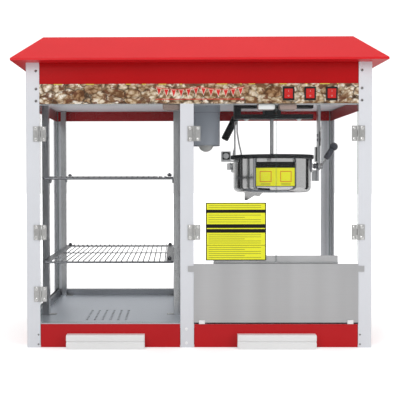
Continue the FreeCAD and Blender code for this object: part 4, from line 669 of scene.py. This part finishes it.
def hexBolt(flat, rise, sunk, look):
    # six flats at flat / cos(((a + 30) mod 60) - 30) over a round washer, with a turned chamfer on top
    angle = np.radians(np.arange(0, 360, look["hexStep"]))
    hexagon = flat / np.cos((angle + math.pi / 6) % (math.pi / 3) - math.pi / 6)
    rows = [(flat * look["washer"][0][0], -sunk)]
    rows += [(flat * share, rise * height) for share, height in look["washer"]]
    rows += [(hexagon, rise * height) for height in look["hexTall"]]
    rows += [(flat * share, rise) for share in look["hexTop"]]
    return turned(rows, angle)


heads = {name: domeScrew(*fastenerLook[name], fastenerLook)
         for name in ("screw", "footScrew", "centreScrew", "leafScrew", "doorScrew", "rivet")}
heads.update({name: hexBolt(*fastenerLook[name], fastenerLook["sunk"], fastenerLook)
              for name in ("bolt", "smallBolt")})


def addFasteners(name, head, places, body, finish="screwSteel", slot="stainless"):
    # places are (facing, x, y, z); each head is turned a little further than the last
    parts = [placed(heads[head], facing, spot, fastenerLook["turnStep"] * number)
             for number, (facing, *spot) in enumerate(places)]
    return addPiece(name, *joined(parts), body, finish, slot)


def addPostScrews(look):
    # near the inner edge of every outer face of the corner posts, and on the middle of the centre posts
    tops, feet = [], []
    for facing in (front, rear, left, right):
        sideFace = facing in (left, right)
        reach = (halfDepth if sideFace else halfWidth) - postWidth
        topHeights = look["postTopHeights"][:2] if sideFace else look["postTopHeights"]
        for side in (-1, 1):
            for spots, inset, heights in ((tops, look["postTopIn"], topHeights),
                                          (feet, look["postFootIn"], look["postFootHeights"])):
                along = side * (reach + inset)
                x, y = (facing[0] * halfWidth, along) if sideFace else (along, facing[1] * halfDepth)
                spots += [(facing, x, y, z) for z in heights]
    centreX = middleX("post_centre_front") - look["centreShift"]
    middles = [(facing, centreX, facing[1] * halfDepth, z) for facing in (front, rear)
               for z in look["centreHeights"]]
    addFasteners("postTopScrews", "screw", tops, "cabinet", "postScrewSteel")
    addFasteners("postFootScrews", "footScrew", feet, "cabinet", "postScrewSteel")
    addFasteners("centreScrews", "centreScrew", middles, "cabinet", "screwPaint", "white_plastic")


def addHingeScrews(look):
    # two heads on every leaf, found from the leaves' own boxes: the doors' leaves lie inwards of the axis
    fixedPlaces = []
    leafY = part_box("post_front_left")[0][1] - look["hingeProud"]
    for door, side in (("warmer_door", 1), ("popper_left_door", 1), ("popper_right_door", -1)):
        low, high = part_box(door + "_leaves")
        axisX = (low[0] if side > 0 else high[0]) + side * look["hingeAxisIn"]
        middles = [look["hingeMiddle"]] if door == "warmer_door" else []
        heights = [z + rise for z in (high[2] - look["hingeEnd"], *middles, low[2] + look["hingeEnd"])
                   for rise in (-look["leafRise"], look["leafRise"])]
        moving = [(front, axisX + side * look["leafIn"], leafY, z) for z in heights]
        fixedPlaces += [(front, axisX - side * look["leafIn"], leafY, z) for z in heights]
        addFasteners(door + "Screws", "doorScrew", moving, door)
    addFasteners("hingeScrews", "leafScrew", fixedPlaces, "cabinet")


boltLook = {"strapThick": 0.006, "strapHeights": (0.505, 0.535), "frameX": (0.135, 0.275), "knobOut": 0.005,
            "knobHeights": (0.5045, 0.516), "potRadius": 0.1045, "bracketY": (-0.009, 0.009),
            "bracketZ": (0.4225, 0.4385), "pivotHeight": 0.435,
            "nuts": ((0.3236, 0.0056, 0.0050), (0.3176, 0.0050, 0.0052))}      # start, half flats, rise


def addKettleBolts(look):
    # bolts on the kettle's hangers and side brackets, and nuts stacked on its right-hand pivot
    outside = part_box("hanger_right")[1][0]
    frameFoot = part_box("hanger_frame")[0][2]
    places = [(right, outside, 0.0, z) for z in look["strapHeights"]]
    places += [(down, x, 0.0, frameFoot) for x in look["frameX"]]
    addFasteners("hangerBolts", "bolt", places, "cabinet")
    knobs = [(left, outside - look["strapThick"], -look["knobOut"], z) for z in look["knobHeights"]]
    addFasteners("hangerKnobs", "smallBolt", knobs, "cabinet", "pegSteel", "black_metal")
    pivotX = middleX("kettle_lid_rear")
    sides = [(facing, pivotX + facing[0] * look["potRadius"], y, z) for facing in (left, right)
             for y in look["bracketY"] for z in look["bracketZ"]]
    addFasteners("kettleBolts", "smallBolt", sides, "kettle")
    nuts = [placed(hexBolt(flat, rise, 0.0, fastenerLook), left, (start, 0.0, look["pivotHeight"]))
            for start, flat, rise in look["nuts"]]
    addPiece("pivotNuts", *joined(nuts), "kettle", "pegSteel", "black_metal")


canLook = {"rivetTurn": -28, "fromFoot": 0.007, "toHeight": 0.575, "pitch": 0.0095, "skin": 0.001,
           "collarTurns": (-150, -90, -40, 30, 90, 150), "collarHeight": 0.590,
           "seamProud": 0.0004, "seamWide": 0.0012, "seamTall": 0.0009, "seamHeight": 0.575}


def addCanRivets(look):
    # small rivets up the lamp can, turned towards the door, more round its collar, and a seam ring
    low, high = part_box("lamp_can")
    middle, radius = middleX("lamp_can"), (high[0] - low[0]) / 2 - look["skin"]
    spots = [(look["rivetTurn"], radius, z)
             for z in np.arange(low[2] + look["fromFoot"], look["toHeight"], look["pitch"])]
    spots += [(turn, radius + look["skin"], look["collarHeight"]) for turn in look["collarTurns"]]
    places = []
    for turn, reach, z in spots:
        out = sideways(turn)
        places.append((out, middle + reach * out[0], reach * out[1], z))
    addFasteners("canRivets", "rivet", places, "cabinet", "canSteel", "grey_metal")
    ring = ringShape(radius + look["seamProud"], look["seamWide"], look["seamTall"])
    seam = placed(ring, up, (middle, 0.0, look["seamHeight"]))
    addPiece("canSeam", *seam, "cabinet", "pegSteel", "grey_metal")


# notices, header ornament and the rockers' marks

noticeLook = {
    "left": 0.0165, "right": 0.1597, "bottom": 0.2078, "top": 0.3454, "border": 0.0024, "corner": 0.001,
    "bevel": 0.0001, "thick": 0.0005, "raised": 0.00012, "seat": 0.1, "inkSeat": 0.7, "fieldCorner": 0.0003,
    "fields": ((0.3430, 0.3287), (0.3211, 0.2942), (0.2851, 0.2828), (0.2739, 0.2446), (0.2436, 0.2102)),
    "rulePitch": 0.0046, "ruleTall": 0.0009, "ruleLong": 0.9, "ruleShort": 0.62, "shortEvery": 3,
    "ruleStart": 0.47,
}


def addDoorNotice(look):
    # black board with yellow fields on the left popping door, ruled with plain lines, every third one short
    middle = (look["left"] + look["right"]) / 2
    wide, tall = look["right"] - look["left"], look["top"] - look["bottom"]
    door = "popper_left_door"
    face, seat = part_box(door)[0][1], look["thick"] * look["seat"]
    board = plateFrom(look, wide, tall, (middle, face, (look["top"] + look["bottom"]) / 2))
    addPiece("noticeBoard", *platesAt([board], front), door, "placardBlack", "black_plastic")
    inner, y = wide - 2 * look["border"], face - look["thick"] + seat
    fields = [(inner, high - low, look["fieldCorner"], seat + look["raised"], 0.0,
               (middle, y, (high + low) / 2)) for high, low in look["fields"]]
    addPiece("noticeFields", *platesAt(fields, front), door, "placardYellow", "white_plastic")
    rules, y = [], y - seat - look["raised"] * look["inkSeat"]
    for number, (high, low) in enumerate(look["fields"]):
        gaps = int((high - low) / look["rulePitch"])
        for line in range(1, gaps):
            reach = inner * (look["ruleLong"] if (line + number) % look["shortEvery"] else look["ruleShort"])
            centre = (middle - inner * look["ruleStart"] + reach / 2, y, high - line * (high - low) / gaps)
            rules.append((reach, look["ruleTall"], look["fieldCorner"], look["raised"], 0.0, centre))
    addPiece("noticeRules", *platesAt(rules, front), door, "ruleInk", "black_plastic")


potNoticeLook = {
    "fromAngle": -32.1, "toAngle": 25.8, "bottom": 0.3822, "header": 0.4290, "top": 0.4442, "radius": 0.1015,
    "thick": 0.0004, "fieldThick": 0.00056, "inkThick": 0.00072, "sunk": 0.0002, "border": 0.0012,
    "frameWide": 0.029, "frameTall": 0.027, "frameLine": 0.0014, "frameRise": 0.0115,
    "ruleRises": (0.0042, 0.0070), "ruleTall": 0.0007, "ruleShare": 0.85,
    "steps": 40, "lineSteps": 16, "sideSteps": 4,
}


def addPotNotice(look):
    # sheets laid round the pot: (u, h, d) wraps to radius + d at the angle u / radius, from the front
    middle, radius = middleX("kettle_lid_rear"), look["radius"]
    u0, u1 = (math.radians(look[end]) * radius for end in ("fromAngle", "toAngle"))
    bottom, border, half = look["bottom"], look["border"], look["frameWide"] / 2

    def sheet(start, end, low, high, thick, kind="steps"):
        section = [(low, -look["sunk"]), (high, -look["sunk"]), (high, thick), (low, thick)]
        u, h, d = carried(np.linspace(start, end, look[kind]), section).T
        x, y = (radius + d) * np.sin(u / radius), (radius + d) * np.cos(u / radius)
        return np.stack([middle + x, -y, h], 1), carriedFaces(look[kind])

    board = sheet(u0, u1, bottom, look["top"], look["thick"])
    addPiece("potNoticeBoard", *board, "kettle", "placardBlack", "black_plastic")
    field = sheet(u0 + border, u1 - border, bottom + border, look["header"], look["fieldThick"])
    addPiece("potNoticeField", *field, "kettle", "placardYellow", "white_plastic")
    low, line, ink = bottom + look["frameRise"], look["frameLine"], look["inkThick"]
    high, ruleHalf = low + look["frameTall"], half * look["ruleShare"]
    frames, rules = [], []
    for u in ((3 * u0 + u1) / 4, (u0 + 3 * u1) / 4):
        frames += [sheet(u - half, u + half, z, z + line, ink, "lineSteps") for z in (low, high - line)]
        frames += [sheet(a, a + line, low + line, high - line, ink, "sideSteps")
                   for a in (u - half, u + (half - line))]
        rules += [sheet(u - ruleHalf, u + ruleHalf, z, z + look["ruleTall"], ink, "lineSteps")
                  for z in (bottom + rise for rise in look["ruleRises"])]
    addPiece("potNoticeFrames", *joined(frames), "kettle", "printRed", "red_plastic")
    addPiece("potNoticeRules", *joined(rules), "kettle", "ruleInk", "black_plastic")


buntingLook = {
    "left": -0.103, "right": 0.108, "top": 0.6195, "sag": 0.006, "string": 0.0007, "stringSteps": 61,
    "flags": 12, "flagWide": 0.0135, "flagTall": 0.0195, "thick": 0.0003, "border": 0.0016,
    "tipShare": 2.6, "slopeStep": 0.002, "lift": 0.0001,
    "ruleTall": 0.0016, "ruleHeight": 0.5905, "corner": 0.0006, "endGap": 1e-6,
}


def stringHeight(x, look):
    # two equal swags: top - sag * 4 s (1 - s) with s running 0 to 1 along each half
    s = (x - look["left"]) / (look["right"] - look["left"]) * 2 % 1.0
    return look["top"] - look["sag"] * 4 * s * (1 - s)


def flagShape(x, look, inset):
    # pennant: a three-cornered plate hung from the string, drawn in by inset on each side
    half, tall = look["flagWide"] / 2 - inset, look["flagTall"] - inset * look["tipShare"]
    top, step = stringHeight(x, look) - inset, look["slopeStep"]
    slope = (stringHeight(x + step, look) - stringHeight(x - step, look)) / (2 * step)
    corners = np.array([(-half, -half * slope), (half, half * slope), (0, -tall)]) + (x, top)
    points = np.concatenate([np.column_stack([corners, np.full(3, d)]) for d in (0.0, look["thick"])])
    return points, [[0, 1, 2], [5, 4, 3], [0, 3, 4, 1], [1, 4, 5, 2], [2, 5, 3, 0]]


def addBunting(look):
    # pennants on a swagged string, printed over the heap of popcorn, and a plain rule below them
    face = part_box("print_panel")[0][1]
    wide, lift, thick = look["right"] - look["left"], look["lift"], look["thick"]
    xs = np.linspace(look["left"], look["right"], look["stringSteps"])
    heights = stringHeight(np.clip(xs, look["left"], look["right"] - look["endGap"]), look)
    string = carried(xs, [(-1, -lift), (1, -lift), (1, thick), (-1, thick)])
    string[:, 1] = np.repeat(heights, 4) + string[:, 1] * look["string"]     # laid along the swags
    middles = [look["left"] + wide / look["flags"] * (i + 0.5) for i in range(look["flags"])]
    pale = joined([flagShape(x, look, 0.0) for x in middles])
    red = joined([flagShape(x, look, look["border"]) for x in middles] + [(string, carriedFaces(len(xs)))])
    for name, flags, y, finish in (("buntingPale", pale, face + lift, "printCream"),
                                   ("buntingRed", red, face - lift, "printRed")):
        addPiece(name, *placed(flags, front, (0, y, 0)), "cabinet", finish, "printed_sheet")
    centre = ((look["left"] + look["right"]) / 2, face, look["ruleHeight"])
    rule = plateFrom(look, wide, look["ruleTall"], centre)
    addPiece("printRule", *platesAt([rule], front), "cabinet", "printRed", "printed_sheet")


markLook = {"barWide": 0.0009, "barTall": 0.0038, "barCorner": 0.0003, "ringRadius": 0.0019,
            "ringWide": 0.0007, "thick": 0.00012, "topMark": 0.0058, "lowMark": -0.0056, "valley": 0.0020,
            "topTilt": 0.178, "lowTilt": 0.071, "sunk": 0.00003, "ringTurns": 32}


def addRockerMarks(look):
    # each mark lies on its half of the rocker's V: y = valley plane minus tilt times height
    bar = roundedPlate(look["barWide"], look["barTall"], look["barCorner"], look["thick"])
    ring = ringShape(look["ringRadius"], look["ringWide"], look["thick"], look["ringTurns"])
    points, faces = joined([placed(bar, up, (0, look["topMark"], 0)),
                            placed(ring, up, (0, look["lowMark"], 0))])
    across, height, depth = points.T
    tilt = np.where(height > 0, look["topTilt"], look["lowTilt"])
    for number in (1, 2, 3):
        node = f"switch_rocker_{number}"
        low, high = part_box(node)
        y = low[1] + look["valley"] + look["sunk"] - np.abs(height) * tilt - depth
        spots = np.stack([middleX(node) + across, y, (low[2] + high[2]) / 2 + height], 1)
        addPiece(f"rockerMarks{number}", spots, faces, f"rocker_{number}", "markWhite", "white_plastic")


# gasket, feet, painted slit shade, guide, clamp, pegs and strike plates

gasketLook = {"side": 0.0198, "hole": 0.0078, "thick": 0.0012, "power": 6, "turns": 64, "footTall": 0.003,
              "sunk": 0.0001}


def addPlugGasket(look):
    # square ring: the outline's radius is half side / (|cos a|^n + |sin a|^n)^(1/n), the hole is round
    low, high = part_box("kettle_terminal")
    angle, power, thick = fullTurn(look["turns"]), look["power"], look["thick"]
    bulge = np.abs(np.cos(angle)) ** power + np.abs(np.sin(angle)) ** power
    square = look["side"] / 2 / bulge ** (1 / power)
    section = [(square, 0.0), (square, thick), (look["hole"], thick), (look["hole"], 0.0)]
    ring = turned(section, angle, closed=True)
    foot = low[2] + look["footTall"]
    centre = (low[0] + (high[2] - foot) / 2, -look["sunk"], (foot + high[2]) / 2)
    addPiece("plugGasket", *placed(ring, front, centre), "kettle", "blackPlastic", "black_plastic")


footLook = {"wide": 0.018, "deep": 0.014, "corner": 0.003, "thick": 0.0015, "bevel": 0.0004, "legIn": 0.008,
            "railIn": 0.016, "screwOut": 0.003}


def addUprightFeet(look):
    # a screwed plate at the foot of each of the four shelf uprights
    low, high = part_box("shelf_uprights")
    plates, screws = [], []
    for side, x in ((-1, low[0] + look["railIn"]), (1, high[0] - look["railIn"])):
        middle = x - side * look["wide"] / 2
        for y in (low[1] + look["legIn"], high[1] - look["legIn"]):
            plates.append(plateFrom(look, look["wide"], look["deep"], (middle, y, low[2])))
            screws.append((up, middle - side * look["screwOut"], y, low[2] + look["thick"]))
    addPiece("uprightFeet", *platesAt(plates, up), "cabinet", "partSteel", "stainless")
    addFasteners("uprightFootScrews", "footScrew", screws, "cabinet")


# heights and depth of the near-black strip that paints the shade in the slit under the guard
slitShadeLook = {"low": 0.0572, "high": 0.0598, "corner": 0.0006, "thick": 0.0006, "clipIn": 0.012,
            "clipWide": 0.014, "depth": 0.1879}


def addSlitShade(look):
    # a near-black strip in the slit between the guard and the drawer fronts, painted shade standing in for
    # the slit's shadow, cut out at the two clips
    start, end, clipIn = postCentreRight, halfWidth - postWidth, look["clipIn"]
    reach, height = clipIn + look["clipWide"], (look["high"] + look["low"]) / 2
    strips = [plateFrom(look, b - a, look["high"] - look["low"], ((a + b) / 2, -look["depth"], height))
              for a, b in ((start, start + clipIn), (start + reach, end - reach), (end - clipIn, end))]
    addPiece("slitShadeStrip", *platesAt(strips, front), "cabinet", "sealRubber", "black_plastic")


guideLook = {"rodX": 0.3285, "rodOut": 0.0112, "rodRadius": 0.0016, "rodLow": 0.488, "rodHigh": 0.527,
             "coverX": (0.3181, 0.3209), "coverOut": 0.0080, "coverZ": (0.4475, 0.4845),
             "corner": 0.0012, "thick": 0.0016, "bevel": 0.0004}


def addHangerGuide(look):
    # dark guide rod and cover strip on the right-hand hanger
    rod = turnedRod(look["rodRadius"], look["rodLow"], look["rodHigh"])
    (start, end), (low, high) = look["coverX"], look["coverZ"]
    centre = ((start + end) / 2, -look["coverOut"], (low + high) / 2)
    cover = plateFrom(look, end - start, high - low, centre)
    guide = joined([placed(rod, up, (look["rodX"], -look["rodOut"], 0)), platesAt([cover], front)])
    addPiece("hangerGuide", *guide, "cabinet", "blackPlastic", "black_plastic")


clampLook = {"turn": -16, "radius": 0.1012, "wide": 0.0085, "low": 0.420, "high": 0.455,
             "corner": 0.0012, "thick": 0.0036, "bevel": 0.0004}


def addPotClamp(look):
    # dark clamp on the pot, below its rim
    out, radius = sideways(look["turn"]), look["radius"]
    centre = (middleX("kettle_lid_rear") + radius * out[0], radius * out[1], (look["low"] + look["high"]) / 2)
    clamp = plateFrom(look, look["wide"], look["high"] - look["low"], centre)
    addPiece("potClamp", *platesAt([clamp], out), "kettle", "pegSteel", "black_metal")


pegLook = {"radius": 0.0042, "rise": 0.0085, "neck": 0.0026, "footShare": 1.5, "footTall": 0.0012,
           "neckFrom": 0.0014, "headFrom": 0.25, "headRings": 7, "turns": 24,
           "inset": 0.010, "frontInset": 0.03, "lowerTop": 0.0055, "upperTop": 0.0005}


def shelfPeg(look):
    # turned peg: neck, swelling head radius * sin, closed at the tip
    foot = look["neck"] * look["footShare"]
    rows = [(foot, 0.0), (foot, look["footTall"]), (look["neck"], look["neckFrom"])]
    rows += [(look["radius"] * math.sin(math.pi * s) + look["neck"] * (1 - s), look["rise"] * s)
             for s in np.linspace(look["headFrom"], 1.0, look["headRings"])[:-1]]
    rows.append((0.0, look["rise"]))
    return turned(rows, fullTurn(look["turns"]))


def addShelfPegs(look):
    # locating pegs at the rear corners of both shelves and on the right end rail
    low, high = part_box("wire_shelves")
    start, end, back = low[0] + look["inset"], high[0] - look["inset"], high[1] - look["inset"]
    spots = [(x, y, top) for top in (low[2] + look["lowerTop"], high[2] - look["upperTop"])
             for x, y in ((start, back), (end, back), (end, low[1] + look["frontInset"]))]
    pegs = [placed(shelfPeg(look), up, spot) for spot in spots]
    addPiece("shelfPegs", *joined(pegs), "cabinet", "pegSteel", "stainless")


strikeLook = {"wide": 0.039, "tall": 0.0125, "corner": 0.002, "thick": 0.0011, "bevel": 0.0003,
              "catchWide": 0.041, "edgeGap": 0.001, "drop": 0.0003, "screwOut": 0.009, "screwSunk": 0.0002}


def addStrikePlates(look):
    # one plate behind each door, opposite its catch
    low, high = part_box("magnetic_catches")
    half, z = look["catchWide"] / 2, (low[2] + high[2]) / 2 - look["drop"]
    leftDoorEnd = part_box("popper_left_door")[1][0] - look["edgeGap"]
    brown, white = ("catchPlastic", "brown_plastic"), ("whitePlastic", "white_plastic")
    for door, x, finish in (("warmer_door", low[0] + half, brown),
                            ("popper_right_door", high[0] - half, brown),
                            ("popper_left_door", leftDoorEnd - half, white)):
        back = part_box(door)[1][1]
        plate = plateFrom(look, look["wide"], look["tall"], (x, back, z))
        addPiece(door + "Strike", *platesAt([plate], rear), door, *finish)
        y = back + look["thick"] - look["screwSunk"]
        screws = [(rear, x + side * look["screwOut"], y, z) for side in (-1, 1)]
        addFasteners(door + "StrikeScrews", "rivet", screws, door)


addPostScrews(fastenerLook)
addHingeScrews(fastenerLook)
addKettleBolts(boltLook)
addCanRivets(canLook)
print("fasteners set")
addDoorNotice(noticeLook)
addPotNotice(potNoticeLook)
addBunting(buntingLook)
addRockerMarks(markLook)
print("notices and marks set")
addPlugGasket(gasketLook)
addUprightFeet(footLook)
addSlitShade(slitShadeLook)
addHangerGuide(guideLook)
addPotClamp(clampLook)
addShelfPegs(pegLook)
addStrikePlates(strikeLook)
print("small plates set")
